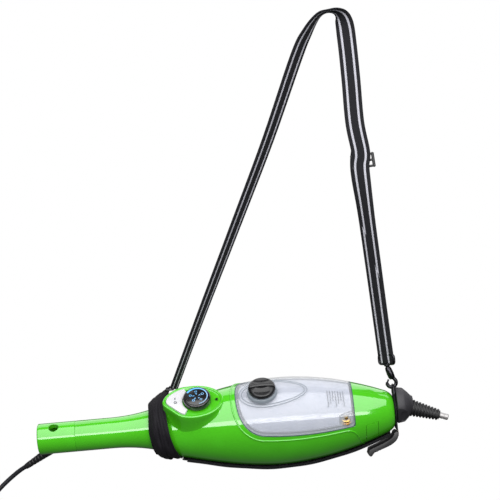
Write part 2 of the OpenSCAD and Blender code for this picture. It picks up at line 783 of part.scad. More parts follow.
// Free stretch of the cord in the row frame, from the strain relief to the coil
coil_at = [-494, 51, -776];
coil_rows = [26, 32, 38, 44, 50];
cord_points = [
    [-402, 33, -606], [-410, 36.5, -611.5], [-418, 39.5, -618], [-427, 41.5, -626],
    [-438, 43, -637], [-449, 43, -650], [-458, 42.5, -664], [-465, 42, -679],
    [-469, 42, -695], [-470, 42, -712], [-468, 42, -724], [-464, 42, -734], [-458.5, 42, -741]];
tail_points = [[-444, 60, -776], [-444, 60, -800], [-444, 60, -822]];

function tube_ring(p, t, r) = let (
    t1 = unit_v(t),
    s = unit_v(cross(t1, [0, 1, 0.01])),
    u = cross(s, t1))
    [for (j = [0:9]) p + r * (cos(36 * j) * s + sin(36 * j) * u)];
module cord_tube(points) {
    line = smooth(points, 2);
    n = len(line);
    swept([for (i = [0:n - 1])
        tube_ring(line[i], line[min(i + 1, n - 1)] - line[max(i - 1, 0)], cord_d / 2)]);
}

module power_cord() color(black) {
    cord_tube(cord_points);
    cord_tube(tail_points);
}

module cord_coil() color(black) translate(coil_at) rotate([90, 0, 0]) rotate_extrude()
    polygon([for (c = [[1, 1], [-1, 1], [-1, -1], [1, -1]]) for (a = [0:30:90])
        [38 + c[0] * (12 + cord_d / 2 * (c[0] * c[1] > 0 ? cos(a) : sin(a))),
         c[1] * (9 + cord_d / 2 * (c[0] * c[1] > 0 ? sin(a) : cos(a)))]]);

module coil_tie() color([0.15, 0.15, 0.15]) translate(coil_at) rotate([0, -75, 0])
    translate([38, 0, 0]) difference() {
        cube([35, 29, 12], center = true);
        cube([31, 25, 20], center = true);
    }

module mains_plug() color(black) translate([-444, 60, -822]) rotate([180, 0, 0]) {
    rotate_extrude() polygon([[0, 0], [3.9, 0], [6, 14], [0, 14]]);
    hull() for (x = [-6, 6]) translate([x, 0, 14]) cylinder(h = 24, r = 7.5, $fn = 32);
    for (x = [-9.5, 9.5]) translate([x, 0, 38]) cylinder(h = 19, r = 2, $fn = 24);
}

lower_shell();
upper_shell();
upper_deck();
rear_cap();
handle_tube();
handle_collar();
pole_sleeve();
water_tank();
tank_gasket();
pickup_fitting();
suction_hose();
pump();
pump_tube();
boiler();
thermostat();
thermal_fuse();
steam_pipe();
outlet_socket();
circuit_board();
dial_control();
switch_module();
terminal_block();
wire_loom();
cord_clamp();
shell_screws();
steam_dial();
dial_face();
dial_shaft();
power_switch();
switch_pin();
pointer_mark();
cap_knob();
cap_insert();
cap_gasket();
release_button_left();
release_button_right();
release_spring_left();
release_spring_right();
connector_body();
connector_seal();
ribbed_boot();
outlet_tube();
neck_belt();
belt_loop();
under_strap();
end_loop();
harness_buckle();
size_tag();
d_ring();
snap_hook();
hook_gate();
hook_eye();
shoulder_strap();
strap_slider();
cord_boot();
power_cord();
cord_coil();
coil_tie();
mains_plug();
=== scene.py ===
"""Looks of the steam mop's hand unit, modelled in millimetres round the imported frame."""
import json
import math

import bpy
from mathutils import Matrix, Vector, noise


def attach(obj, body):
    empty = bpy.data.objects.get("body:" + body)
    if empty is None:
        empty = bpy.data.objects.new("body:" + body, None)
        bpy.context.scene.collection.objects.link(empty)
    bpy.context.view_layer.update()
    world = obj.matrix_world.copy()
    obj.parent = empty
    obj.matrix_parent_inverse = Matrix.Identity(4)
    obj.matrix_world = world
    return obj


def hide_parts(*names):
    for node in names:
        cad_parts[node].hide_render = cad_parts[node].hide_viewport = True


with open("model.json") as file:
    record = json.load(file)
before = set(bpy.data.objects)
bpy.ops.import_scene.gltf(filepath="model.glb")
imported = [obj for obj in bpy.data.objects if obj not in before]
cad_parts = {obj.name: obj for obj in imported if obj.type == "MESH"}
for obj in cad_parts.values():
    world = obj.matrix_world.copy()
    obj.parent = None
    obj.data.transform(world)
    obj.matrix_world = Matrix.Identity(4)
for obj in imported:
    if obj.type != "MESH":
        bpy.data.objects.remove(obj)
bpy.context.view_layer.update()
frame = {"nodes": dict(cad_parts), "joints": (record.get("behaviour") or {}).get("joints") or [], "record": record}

# ------------------------------------------------------------------ the unit's own frames
MM = 0.001
JOINTS = {joint["name"]: joint for joint in frame["joints"]}
MOUNTS = {mount["name"]: mount for mount in frame["record"]["mounts"]}
ALONG = Vector(JOINTS["connector_pull"]["axis"]).normalized()
OUTWARD = Vector(JOINTS["steam_dial_turn"]["axis"]).normalized()


def axes(x, z, origin):
    """Frame with axes x, y and z at origin, that takes millimetres to metres."""
    y = z.cross(x)
    turn = Matrix((x, y, z)).transposed().to_4x4()
    return Matrix.Translation(origin) @ turn @ Matrix.Scale(MM, 4)


def span(node, place):
    """Lowest and highest corner of a CAD node in a frame, in millimetres."""
    back = place.inverted()
    points = [back @ v.co for v in frame["nodes"][node].data.vertices]
    low = Vector([min(p[i] for p in points) for i in range(3)])
    high = Vector([max(p[i] for p in points) for i in range(3)])
    return low, high


socket_mouth = Vector(MOUNTS["pole_socket"]["pos_m"])
trial = axes(ALONG, OUTWARD, socket_mouth)
ORIGIN = socket_mouth + ALONG * span("handle_collar", trial)[0].x * MM
ROLLED = axes(ALONG, OUTWARD, ORIGIN)
UNIT = axes(ALONG, ALONG.cross(Vector((0, 1, 0))), ORIGIN)
ROW = Matrix.Scale(MM, 4)

# ------------------------------------------------------------------ sizes, in millimetres
BELLY_DROP = 5
TUBE_R = 20.25
BELLY_FRONT = ((165, 31.5), (206.3, 40), (264.5, 57.3), (318, 57.3))
BELLY_REAR = ((318, 57.3), (372, 57.3), (424.6, 43), (462, 27.5))
BELLY_CORNER = ((462, 27.5), (466, 25), (470, 22.5), (470, 18))
HANDLE_FLARE = ((95, TUBE_R), (125, TUBE_R), (148, 25), (165, 31))
SHELL = 2.6
TANK_FRONT = 262
TANK_REAR = 415
TANK_LOW = 22
TANK_FALL = 5
TANK_DIP = 2.4
TANK_CORNER = 38
FRAME_WIDTH = 6.2
SEAM_RUN = 26
SEAM_FOOT = -77.3
CORD_R = 3
DOME_SHIFT = (3.3, 4.0)
FOOT_RUN = 110
PAST_REAR = 520
ABOVE = 90
BUTTON_SIDE = (20, 60)

collar_low, collar_high = span("handle_collar", ROLLED)
dial_low, dial_high = span("steam_dial", ROLLED)
cap_low, cap_high = span("cap_knob", ROLLED)
deck_low, deck_high = span("upper_deck", ROLLED)
switch_low, switch_high = span("power_switch", ROLLED)
button_low, button_high = span("release_button_left", ROLLED)
plug_low, plug_high = span("mains_plug", ROW)

DIAL_X = (dial_low.x + dial_high.x) / 2
DIAL_R = (dial_high.x - dial_low.x) / 2
CAP_X = (cap_low.x + cap_high.x) / 2
CAP_R = (cap_high.x - cap_low.x) / 2
DECK_FRONT = 169
DECK_LENGTH = 79
DECK_WIDTH = 54
DECK_TOP = deck_high.z


def bezier(p, t):
    a, b, c, d = (1 - t) ** 3, 3 * t * (1 - t) ** 2, 3 * t * t * (1 - t), t ** 3
    return tuple(a * p[0][i] + b * p[1][i] + c * p[2][i] + d * p[3][i] for i in range(len(p[0])))


def curve(p, steps):
    return [bezier(p, i / steps) for i in range(steps + 1)]


BELLY = curve(BELLY_FRONT, 36) + curve(BELLY_REAR, 36)[1:] + curve(BELLY_CORNER, 6)[1:]


def belly_radius(x):
    """Radius of the belly at a place along the unit."""
    for (xa, ra), (xb, rb) in zip(BELLY, BELLY[1:]):
        if xa <= x <= xb and xb > xa:
            return ra + (rb - ra) * (x - xa) / (xb - xa)
    return BELLY[0][1] if x < BELLY[0][0] else BELLY[-1][1]


def on_belly(x, angle, out=0.0):
    """Point on the belly, its angle counted from straight out towards the front."""
    r = belly_radius(x) + out
    return (x, -r * math.sin(angle), r * math.cos(angle) - BELLY_DROP)


def ease(t):
    t = min(max(t, 0), 1)
    return t * t * (3 - 2 * t)


def circle(x, y, r, steps=48, start=0.0, end=360.0):
    turn = [math.radians(start + (end - start) * i / steps) for i in range(steps + 1)]
    points = [(x + r * math.cos(a), y + r * math.sin(a)) for a in turn]
    return points[:-1] if end - start == 360 else points


def corner_turn(a, corner, b, steps=8):
    """Curve from a to b that leaves and arrives along the two sides of a corner."""
    a, corner, b = Vector(a), Vector(corner), Vector(b)
    return [tuple((a * (1 - t) + corner * t) * (1 - t) + (corner * (1 - t) + b * t) * t)
            for t in (k / steps for k in range(steps + 1))]


def rounded(points, reach):
    """Closed outline with each corner eased over a reach on both sides."""
    out = []
    for i, corner in enumerate(points):
        before, after = Vector(points[i - 1]), Vector(points[(i + 1) % len(points)])
        corner = Vector(corner)
        a = corner + (before - corner).normalized() * min(reach, (before - corner).length / 2)
        b = corner + (after - corner).normalized() * min(reach, (after - corner).length / 2)
        out += corner_turn(a, corner, b, 6)
    return out


# ------------------------------------------------------------------ modelling
def only(piece):
    """Select one piece alone and make it the active one."""
    bpy.ops.object.select_all(action="DESELECT")
    piece.select_set(True)
    bpy.context.view_layer.objects.active = piece
    return piece


def new_piece(name):
    piece = bpy.context.object
    piece.name = piece.data.name = name
    return only(piece)


def clean(piece, merge=0.001):
    """Merge doubled points and turn every face outwards."""
    only(piece)
    bpy.ops.object.mode_set(mode="EDIT")
    bpy.ops.mesh.select_all(action="SELECT")
    bpy.ops.mesh.remove_doubles(threshold=merge)
    bpy.ops.mesh.dissolve_degenerate(threshold=merge)
    bpy.ops.mesh.select_all(action="SELECT")
    bpy.ops.mesh.normals_make_consistent(inside=False)
    bpy.ops.object.mode_set(mode="OBJECT")
    return piece


def modify(piece, kind, **values):
    """Add a modifier with these values and apply it."""
    only(piece)
    modifier = piece.modifiers.new(kind.lower(), kind)
    for key, value in values.items():
        setattr(modifier, key, value)
    bpy.ops.object.modifier_apply(modifier=modifier.name)
    return piece


def soften(piece, width, segments=3, angle=35):
    """Round off the sharp edges of a piece."""
    return modify(piece, "BEVEL", width=width, segments=segments, limit_method="ANGLE",
                  angle_limit=math.radians(angle), harden_normals=False)


def thicken(piece, thickness, offset=-1):
    return modify(piece, "SOLIDIFY", thickness=thickness, offset=offset)


def moved(piece, location, rotation=(0, 0, 0)):
    """Turn and move a piece for good."""
    only(piece)
    piece.rotation_euler = rotation
    piece.location = location
    bpy.ops.object.transform_apply(location=True, rotation=True, scale=True)
    return piece


def cut(piece, tool, operation="DIFFERENCE"):
    """Cut a piece with a tool, which is used up."""
    modify(piece, "BOOLEAN", object=tool, operation=operation, solver="EXACT")
    bpy.data.objects.remove(tool)
    return piece


def joined(name, *pieces):
    bpy.ops.object.select_all(action="DESELECT")
    for piece in pieces:
        piece.select_set(True)
    bpy.context.view_layer.objects.active = pieces[0]
    bpy.ops.object.join()
    return new_piece(name)


def turned(name, section, sides=96, along="Z", at=(0, 0, 0)):
    """Spin a closed section of (place along the axis, radius) round its axis."""
    bpy.ops.mesh.primitive_circle_add(vertices=len(section))
    piece = new_piece(name)
    for vertex, (place, radius) in zip(piece.data.vertices, section):
        vertex.co = (radius, 0, place)
    bpy.ops.object.mode_set(mode="EDIT")
    bpy.ops.mesh.select_all(action="SELECT")
    bpy.ops.mesh.spin(steps=sides, angle=2 * math.pi, center=(0, 0, 0), axis=(0, 0, 1))
    bpy.ops.object.mode_set(mode="OBJECT")
    clean(piece)
    return moved(piece, at, (0, math.pi / 2, 0) if along == "X" else (0, 0, 0))


def plate(name, outline, low, high, rounding=0.0, segments=3):
    """Flat plate cut to an outline, standing from low to high."""
    bpy.ops.mesh.primitive_circle_add(vertices=len(outline), fill_type="NGON")
    piece = new_piece(name)
    for vertex, (x, y) in zip(piece.data.vertices, outline):
        vertex.co = (x, y, low)
    clean(piece)
    thicken(piece, high - low, offset=0)
    middle = sum(v.co.z for v in piece.data.vertices) / len(piece.data.vertices)
    for vertex in piece.data.vertices:
        vertex.co.z += (low + high) / 2 - middle
    clean(piece)
    if rounding:
        soften(piece, rounding, segments)
    return piece


def stood(piece):
    """Turn a plate drawn in XY so that it stands in XZ, centred across the unit."""
    return moved(piece, (0, 0, 0), (math.pi / 2, 0, 0))


def block(name, low, high, rounding=0.0, segments=3):
    """Block between two corners."""
    low, high = Vector(low), Vector(high)
    bpy.ops.mesh.primitive_cube_add(size=1, location=(low + high) / 2)
    piece = new_piece(name)
    piece.scale = high - low
    bpy.ops.object.transform_apply(location=True, rotation=True, scale=True)
    if rounding:
        soften(piece, rounding, segments)
    return piece


def side_tool(side, low, high, near, far, shift=0.0, rounding=0.0):
    """Block on one side of the unit, from near to far across it, between (x, z) corners."""
    ends = sorted((side * near + shift, side * far + shift))
    return block("tool", (low[0], ends[0], low[1]), (high[0], ends[1], high[1]), rounding)


def drape(name, columns, rows, rule, merge=False):
    """Grid whose point at (u, v), each from 0 to 1, is moved to rule(u, v)."""
    bpy.ops.mesh.primitive_grid_add(x_subdivisions=columns, y_subdivisions=rows, size=1)
    piece = new_piece(name)
    for vertex in piece.data.vertices:
        vertex.co = rule(vertex.co.x + 0.5, vertex.co.y + 0.5)
    if merge:
        clean(piece)
    return piece


def close_ends(piece):
    """Fill every open edge of a piece with a face of its own."""
    only(piece)
    bpy.ops.object.mode_set(mode="EDIT")
    bpy.ops.mesh.select_mode(type="EDGE")
    bpy.ops.mesh.select_all(action="DESELECT")
    bpy.ops.mesh.select_non_manifold(extend=False, use_wire=False, use_boundary=True,
                                     use_multi_face=False, use_non_contiguous=False,
                                     use_verts=False)
    bpy.ops.mesh.fill_holes(sides=0)
    bpy.ops.mesh.select_all(action="DESELECT")
    bpy.ops.object.mode_set(mode="OBJECT")
    return clean(piece)


def wire(name, points, radius, closed=False, sides=4):
    """Round wire along points."""
    line = bpy.data.curves.new(name, "CURVE")
    line.dimensions = "3D"
    line.bevel_depth = radius
    line.bevel_resolution = sides
    line.use_fill_caps = True
    spline = line.splines.new("POLY")
    spline.points.add(len(points) - 1)
    for point, place in zip(spline.points, points):
        point.co = (*place, 1)
    spline.use_cyclic_u = closed
    piece = bpy.data.objects.new(name, line)
    bpy.context.collection.objects.link(piece)
    only(piece)
    bpy.ops.object.convert(target="MESH")
    return clean(new_piece(name))


def settle(piece, place, body, finish, slot, *nodes, angle=35):
    """Put a finished piece in its place, on its body, with its finish."""
    only(piece)
    piece.matrix_world = place
    bpy.ops.object.transform_apply(location=True, rotation=True, scale=True)
    bpy.ops.object.shade_smooth_by_angle(angle=math.radians(angle))
    piece.data.materials.clear()
    piece.data.materials.append(finish)
    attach(piece, body)
    if nodes:
        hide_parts(*nodes)
    return piece


# ------------------------------------------------------------------ shared shader effects
def group(name, inputs, outputs):
    """New shader node group with (name, kind, value) inputs and (name, kind) outputs."""
    tree = bpy.data.node_groups.new(name, "ShaderNodeTree")
    for title, kind, value in inputs:
        socket = tree.interface.new_socket(title, in_out="INPUT", socket_type=kind)
        if value is not None:
            socket.default_value = value
    for title, kind in outputs:
        tree.interface.new_socket(title, in_out="OUTPUT", socket_type=kind)
    return tree, tree.nodes.new("NodeGroupInput"), tree.nodes.new("NodeGroupOutput")


def add(tree, kind, links=(), **values):
    """New node with its properties or sockets set, and its inputs linked."""
    node = tree.nodes.new("ShaderNode" + kind)
    for key, value in values.items():
        title = key.replace("_", " ").title()
        if hasattr(node, key):
            setattr(node, key, value)
        else:
            node.inputs[title].default_value = value
    for source, target in links:
        tree.links.new(source, node.inputs[target])
    return node


NUMBER, COLOUR, VECTOR = "NodeSocketFloat", "NodeSocketColor", "NodeSocketVector"


def moulded_group():
    """Fine grain and slow waviness of moulded plastic, and where it is worn dull."""
    tree, given, result = group("moulded_surface", [
        ("Vector", VECTOR, None), ("Grain", NUMBER, 900.0), ("Waves", NUMBER, 40.0)],
        [("Height", NUMBER), ("Worn", NUMBER)])
    grain = add(tree, "TexNoise", [(given.outputs["Vector"], "Vector"),
                                   (given.outputs["Grain"], "Scale")], detail=3.0)
    waves = add(tree, "TexNoise", [(given.outputs["Vector"], "Vector"),
                                   (given.outputs["Waves"], "Scale")], detail=4.0)
    height = add(tree, "Math", [(grain.outputs["Fac"], 0), (waves.outputs["Fac"], 1)],
                 operation="ADD")
    worn = add(tree, "MapRange", [(waves.outputs["Fac"], "Value")])
    worn.inputs["From Min"].default_value = 0.45
    worn.inputs["From Max"].default_value = 0.75
    tree.links.new(height.outputs[0], result.inputs["Height"])
    tree.links.new(worn.outputs["Result"], result.inputs["Worn"])
    return tree


def weave_group():
    """Plain weave on a map in threads, its height and its dark gaps."""
    tree, given, result = group("plain_weave", [
        ("Vector", VECTOR, None), ("Across", NUMBER, 20.0), ("Lengthwise", NUMBER, 20.0)],
        [("Height", NUMBER), ("Gaps", NUMBER)])
    parts = add(tree, "SeparateXYZ", [(given.outputs["Vector"], 0)])
    waves = []
    for axis, title in (("X", "Lengthwise"), ("Y", "Across")):
        scaled = add(tree, "Math", [(parts.outputs[axis], 0), (given.outputs[title], 1)],
                     operation="MULTIPLY")
        turn = add(tree, "Math", [(scaled.outputs[0], 0)], operation="MULTIPLY")
        turn.inputs[1].default_value = 2 * math.pi
        waves.append(add(tree, "Math", [(turn.outputs[0], 0)], operation="SINE"))
    over = add(tree, "Math", [(waves[0].outputs[0], 0), (waves[1].outputs[0], 1)],
               operation="MULTIPLY")
    gaps = add(tree, "MapRange", [(over.outputs[0], "Value")])
    gaps.inputs["From Min"].default_value = -1.0
    gaps.inputs["From Max"].default_value = 1.0
    tree.links.new(gaps.outputs["Result"], result.inputs["Height"])
    tree.links.new(gaps.outputs["Result"], result.inputs["Gaps"])
    return tree


MOULDED = moulded_group()
WEAVE = weave_group()


def finish(name, roughness, metallic=0.0, **sockets):
    """Material with one Principled shader, and its tree for more nodes."""
    material = bpy.data.materials.new(name)
    material.use_nodes = True
    tree = material.node_tree
    shader = tree.nodes["Principled BSDF"]
    shader.inputs["Roughness"].default_value = roughness
    shader.inputs["Metallic"].default_value = metallic
    for title, value in sockets.items():
        shader.inputs[title.replace("_", " ")].default_value = value
    return material, tree, shader


def bump(tree, shader, height, distance, strength=1.0):
    node = add(tree, "Bump", [(height, "Height")])
    node.inputs["Distance"].default_value = distance
    node.inputs["Strength"].default_value = strength
    tree.links.new(node.outputs["Normal"], shader.inputs["Normal"])


def varied(tree, mask, low, high, target):
    """Feed a socket with a value that runs from low to high with a mask."""
    node = add(tree, "MapRange", [(mask, "Value")])
    node.inputs["To Min"].default_value = low
    node.inputs["To Max"].default_value = high
    tree.links.new(node.outputs["Result"], target)


def two_tone(tree, mask, dark, light, target):
    node = add(tree, "Mix", data_type="RGBA")
    tree.links.new(mask, node.inputs["Factor"])
    node.inputs["A"].default_value = (*dark, 1)
    node.inputs["B"].default_value = (*light, 1)
    tree.links.new(node.outputs["Result"], target)
    return node


def effect(tree, shared, coordinates, **sizes):
    """A shared effect with its sizes, on one kind of coordinates."""
    node = tree.nodes.new("ShaderNodeGroup")
    node.node_tree = shared
    for title, value in sizes.items():
        node.inputs[title].default_value = value
    tree.links.new(coordinates, node.inputs["Vector"])
    return node


def moulded(name, dark, light, roughness, worn=0.08, depth=0.00002, grain=900.0, waves=40.0,
            metallic=0.0, **sockets):
    """Moulded plastic, rubber or cast metal with grain, waviness and dull patches."""
    material, tree, shader = finish(name, roughness, metallic, **sockets)
    place = add(tree, "TexCoord")
    relief = effect(tree, MOULDED, place.outputs["Object"], Grain=grain, Waves=waves)
    two_tone(tree, relief.outputs["Worn"], dark, light, shader.inputs["Base Color"])
    varied(tree, relief.outputs["Worn"], roughness, roughness + worn, shader.inputs["Roughness"])
    bump(tree, shader, relief.outputs["Height"], depth)
    return material


def woven(name, dark, light, across, lengthwise, depth, roughness=0.75, stripes=None):
    """Woven cloth on the piece's own map, with stripes at two places across it."""
    material, tree, shader = finish(name, roughness, Sheen_Weight=0.02, Sheen_Roughness=0.4,
                                    Specular_IOR_Level=0.12)
    place = add(tree, "TexCoord")
    weave = effect(tree, WEAVE, place.outputs["UV"], Across=across, Lengthwise=lengthwise)
    colour = two_tone(tree, weave.outputs["Gaps"], dark, light, shader.inputs["Base Color"])
    bump(tree, shader, weave.outputs["Height"], depth)
    if stripes:
        parts = add(tree, "SeparateXYZ", [(place.outputs["UV"], 0)])
        fold = add(tree, "Math", [(parts.outputs["Y"], 0)], operation="SUBTRACT")
        fold.inputs[1].default_value = 0.5
        side = add(tree, "Math", [(fold.outputs[0], 0)], operation="ABSOLUTE")
        near = add(tree, "Math", [(side.outputs[0], 0)], operation="COMPARE")
        near.inputs[1].default_value = stripes["place"]
        near.inputs[2].default_value = stripes["half"]
        silver = two_tone(tree, weave.outputs["Gaps"], stripes["dark"], stripes["light"],
                          shader.inputs["Base Color"])
        both = add(tree, "Mix", data_type="RGBA")
        tree.links.new(near.outputs[0], both.inputs["Factor"])
        tree.links.new(colour.outputs["Result"], both.inputs["A"])
        tree.links.new(silver.outputs["Result"], both.inputs["B"])
        tree.links.new(both.outputs["Result"], shader.inputs["Base Color"])
    return material


# ------------------------------------------------------------------ finishes
GREEN = moulded("glossy_green", (0.055, 0.41, 0.008), (0.060, 0.45, 0.011), 0.09, worn=0.04,
                depth=0.00001, waves=25.0, Coat_Weight=1.0, Coat_Roughness=0.03)
BLACK = moulded("black_plastic", (0.010, 0.010, 0.011), (0.016, 0.016, 0.018), 0.42, depth=0.00004)
SATIN = moulded("connector_black", (0.022, 0.021, 0.025), (0.032, 0.031, 0.036), 0.55,
                depth=0.00006, grain=1400.0)
DIAL_BLACK = moulded("dial_black", (0.006, 0.006, 0.007), (0.010, 0.010, 0.012), 0.16, worn=0.1,
                     Coat_Weight=0.5)
CAP_BLACK = moulded("cap_black", (0.006, 0.006, 0.007), (0.010, 0.010, 0.012), 0.26, worn=0.1)
RUBBER = moulded("soft_rubber", (0.008, 0.008, 0.009), (0.014, 0.014, 0.016), 0.5, depth=0.00004)
CORD = moulded("cord_sheath", (0.010, 0.010, 0.013), (0.018, 0.018, 0.022), 0.38, depth=0.00003)
WHITE = moulded("switch_white", (0.50, 0.50, 0.52), (0.55, 0.55, 0.56), 0.28)
GASKET = moulded("tank_gasket_grey", (0.03, 0.06, 0.065), (0.05, 0.09, 0.09), 0.45)
RED_SEAL = moulded("seal_red", (0.30, 0.03, 0.02), (0.36, 0.05, 0.03), 0.5)
LINER = moulded("tank_liner", (0.44, 0.46, 0.54), (0.52, 0.53, 0.60), 0.16, depth=0.00003,
                grain=600.0, waves=60.0, Coat_Weight=1.0, Coat_Roughness=0.05)
EMBOSSED = moulded("embossed_clear", (0.26, 0.30, 0.34), (0.34, 0.38, 0.42), 0.12,
                   Alpha=0.6)
BRASS = moulded("brass", (0.55, 0.36, 0.10), (0.62, 0.44, 0.16), 0.25, metallic=1.0)
COPPER = moulded("copper", (0.62, 0.27, 0.13), (0.70, 0.34, 0.18), 0.28, metallic=1.0)
STEEL = moulded("bright_steel", (0.60, 0.60, 0.60), (0.68, 0.68, 0.69), 0.20, metallic=1.0)
NICKEL = moulded("dark_nickel", (0.030, 0.030, 0.034), (0.055, 0.055, 0.060), 0.24, metallic=1.0)
STUB = moulded("outlet_metal", (0.38, 0.37, 0.37), (0.44, 0.43, 0.43), 0.40, metallic=0.6)
CASTING = moulded("boiler_casting", (0.45, 0.46, 0.47), (0.55, 0.56, 0.57), 0.45, metallic=1.0,
                  depth=0.00015, grain=500.0)
BOARD = moulded("board_green", (0.01, 0.11, 0.04), (0.02, 0.15, 0.05), 0.35)
HOSE = moulded("silicone_hose", (0.60, 0.60, 0.55), (0.68, 0.68, 0.62), 0.4,
               Transmission_Weight=0.3)
PUMP = moulded("pump_body", (0.05, 0.05, 0.06), (0.08, 0.08, 0.09), 0.4)
PRINT = moulded("grey_print", (0.10, 0.11, 0.12), (0.14, 0.15, 0.16), 0.5)
WEBBING = woven("striped_webbing", (0.004, 0.004, 0.005), (0.020, 0.020, 0.024), 12, 420, 0.00025,
                stripes={"place": 0.25, "half": 0.055, "dark": (0.20, 0.20, 0.23),
                         "light": (0.62, 0.62, 0.68)})
PLAIN_WEB = woven("plain_webbing", (0.003, 0.003, 0.004), (0.016, 0.016, 0.019), 12, 150, 0.0002)
BELT = woven("belt_fabric", (0.005, 0.0046, 0.006), (0.014, 0.0125, 0.016), 46, 300, 0.00008, 0.7)
TAG = woven("tag_cloth", (0.34, 0.29, 0.22), (0.44, 0.39, 0.32), 16, 30, 0.0001, 0.8)
TIE = woven("tie_tape", (0.006, 0.006, 0.008), (0.020, 0.020, 0.024), 10, 60, 0.0002, 0.85)


def clear_finish():
    """Clear tank plastic, faintly wavy."""
    material, tree, shader = finish("clear_tank", 0.04, Alpha=0.3, IOR=1.46, Coat_Weight=1.0)
    shader.inputs["Base Color"].default_value = (0.55, 0.58, 0.64, 1)
    place = add(tree, "TexCoord")
    relief = effect(tree, MOULDED, place.outputs["Object"], Grain=300.0, Waves=18.0)
    varied(tree, relief.outputs["Worn"], 0.03, 0.08, shader.inputs["Roughness"])
    bump(tree, shader, relief.outputs["Height"], 0.00004, 0.5)
    return material


def print_finish():
    """Blue print of the dial, fading to grey round its lower right."""
    material, tree, shader = finish("dial_print", 0.3)
    place = add(tree, "TexCoord")
    centre = ROLLED @ Vector((DIAL_X, 0, dial_high.z))
    shift = add(tree, "Mapping", [(place.outputs["Object"], "Vector")])
    shift.inputs["Location"].default_value = -centre
    parts = add(tree, "SeparateXYZ", [(shift.outputs["Vector"], 0)])
    spread = add(tree, "Math", [(parts.outputs["X"], 0), (parts.outputs["Z"], 1)],
                 operation="SUBTRACT")
    mask = add(tree, "MapRange", [(spread.outputs[0], "Value")])
    mask.inputs["From Min"].default_value = -0.012
    mask.inputs["From Max"].default_value = 0.024
    two_tone(tree, mask.outputs["Result"], (0.10, 0.42, 0.80), (0.32, 0.42, 0.55),
             shader.inputs["Base Color"])
    return material


CLEAR = clear_finish()
DIAL_PRINT = print_finish()


# ------------------------------------------------------------------ camera
def camera():
    """Level camera that looks along +Y at the middle of the hanging unit."""
    data = bpy.data.cameras.new("camera")
    data.lens = 100.8
    data.sensor_width = 36
    piece = bpy.data.objects.new("camera", data)
    bpy.context.collection.objects.link(piece)
    piece.location = (-0.1003, -1.85, -0.3147)
    piece.rotation_euler = (math.pi / 2, 0, 0)
    bpy.context.scene.camera = piece


camera()

# ------------------------------------------------------------------ mains cord
COIL_AT = (-494, 51, -776)
COIL_OUTER = 56
COIL_FRONT = 42
COIL_TURNS = 18
COIL_START = 45
LEAD = [(-402, 33, -606), (-410, 36.5, -611.5), (-418, 39.5, -618), (-427, 41.5, -626),
        (-438, 43, -637), (-449, 43, -650), (-458, 42.5, -664), (-465, 42, -679),
        (-468.6, 42, -689), (-470, 42, -699), (-468.2, 42, -712.5), (-462.9, 42, -725.3)]
TAIL = [(-448.6, 59.6, -788), (-447, 59.8, -799), (-445.2, 60, -811), (-444, 60, -822)]


def coil_points():
    """Turns of the coil: flat spirals side by side, inward and outward in turn."""
    pitch = 2 * CORD_R
    layer, crossing = 5 * 360, 60
    points = []
    for degree in range(0, COIL_TURNS * 360 + COIL_START + 1, 12):
        column, along = divmod(degree, layer)
        inward = along if column % 2 == 0 else layer - along
        radius = COIL_OUTER - pitch * inward / 360
        depth = COIL_FRONT + pitch * (column + ease((along - layer + crossing) / crossing))
        angle = math.radians(COIL_START - degree)
        points.append((COIL_AT[0] + radius * math.cos(angle), depth,
                       COIL_AT[2] + radius * math.sin(angle)))
    return points


def power_cord():
    """The cord as one curve: lead, coil and tail."""
    points = LEAD + coil_points() + TAIL
    line = bpy.data.curves.new("power_cord_line", "CURVE")
    line.dimensions = "3D"
    line.bevel_depth = CORD_R * MM
    line.bevel_resolution = 3
    line.resolution_u = 3
    line.use_fill_caps = True
    spline = line.splines.new("BEZIER")
    spline.bezier_points.add(len(points) - 1)
    for point, place in zip(spline.bezier_points, points):
        point.co = Vector(place) * MM
        point.handle_left_type = point.handle_right_type = "AUTO"
    piece = bpy.data.objects.new("mains_cord", line)
    bpy.context.collection.objects.link(piece)
    line.materials.append(CORD)
    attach(piece, "casing")
    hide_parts("power_cord", "cord_coil")
    return piece


def strain_relief():
    """Tapered relief with ring grooves, from the collar to the cord."""
    root = Vector((20, 0, -16))
    slope = math.radians(37)
    direction = Vector((-math.cos(slope), 0, -math.sin(slope)))
    section = [(9, 0), (9, 6.2), (14, 6.0), (20, 5.6)]
    for ring in range(5):
        x = 22 + ring * 5.6
        r = 5.5 - 0.28 * ring
        section += [(x, r), (x + 0.8, r - 0.6), (x + 1.8, r - 0.6), (x + 2.6, r - 0.05)]
    section += [(52, 4.1), (57, 3.7), (58, 3.3), (58, 0)]
    piece = turned("cord_strain_relief", section, sides=32)
    soften(piece, 0.35, 2, 30)
    turn = Vector((0, 0, 1)).rotation_difference(direction).to_matrix().to_4x4()
    place = ROLLED @ Matrix.Translation(root) @ turn
    return settle(piece, place, "casing", RUBBER, "cord_rubber", "cord_boot")


def coil_wrap():
    """Hook-and-loop tie round the coil's bundle."""
    def rule(u, v):
        angle = 2 * math.pi * u
        lean = abs(math.cos(angle)) ** 0.35, abs(math.sin(angle)) ** 0.35
        x = math.copysign(18.6 * lean[0], math.cos(angle))
        y = math.copysign(13.4 * lean[1], math.sin(angle))
        return (41.5 + x, y, 12 * (v - 0.5) + 0.4 * math.sin(3 * angle))
    piece = drape("coil_wrap", 48, 4, rule, merge=True)
    thicken(piece, 1.4, offset=1)
    soften(piece, 0.4, 2)
    turn = Matrix.Rotation(math.radians(-75), 4, "Y")
    place = ROW @ Matrix.Translation(COIL_AT) @ turn
    return settle(piece, place, "casing", TIE, "belt_fabric", "coil_tie")


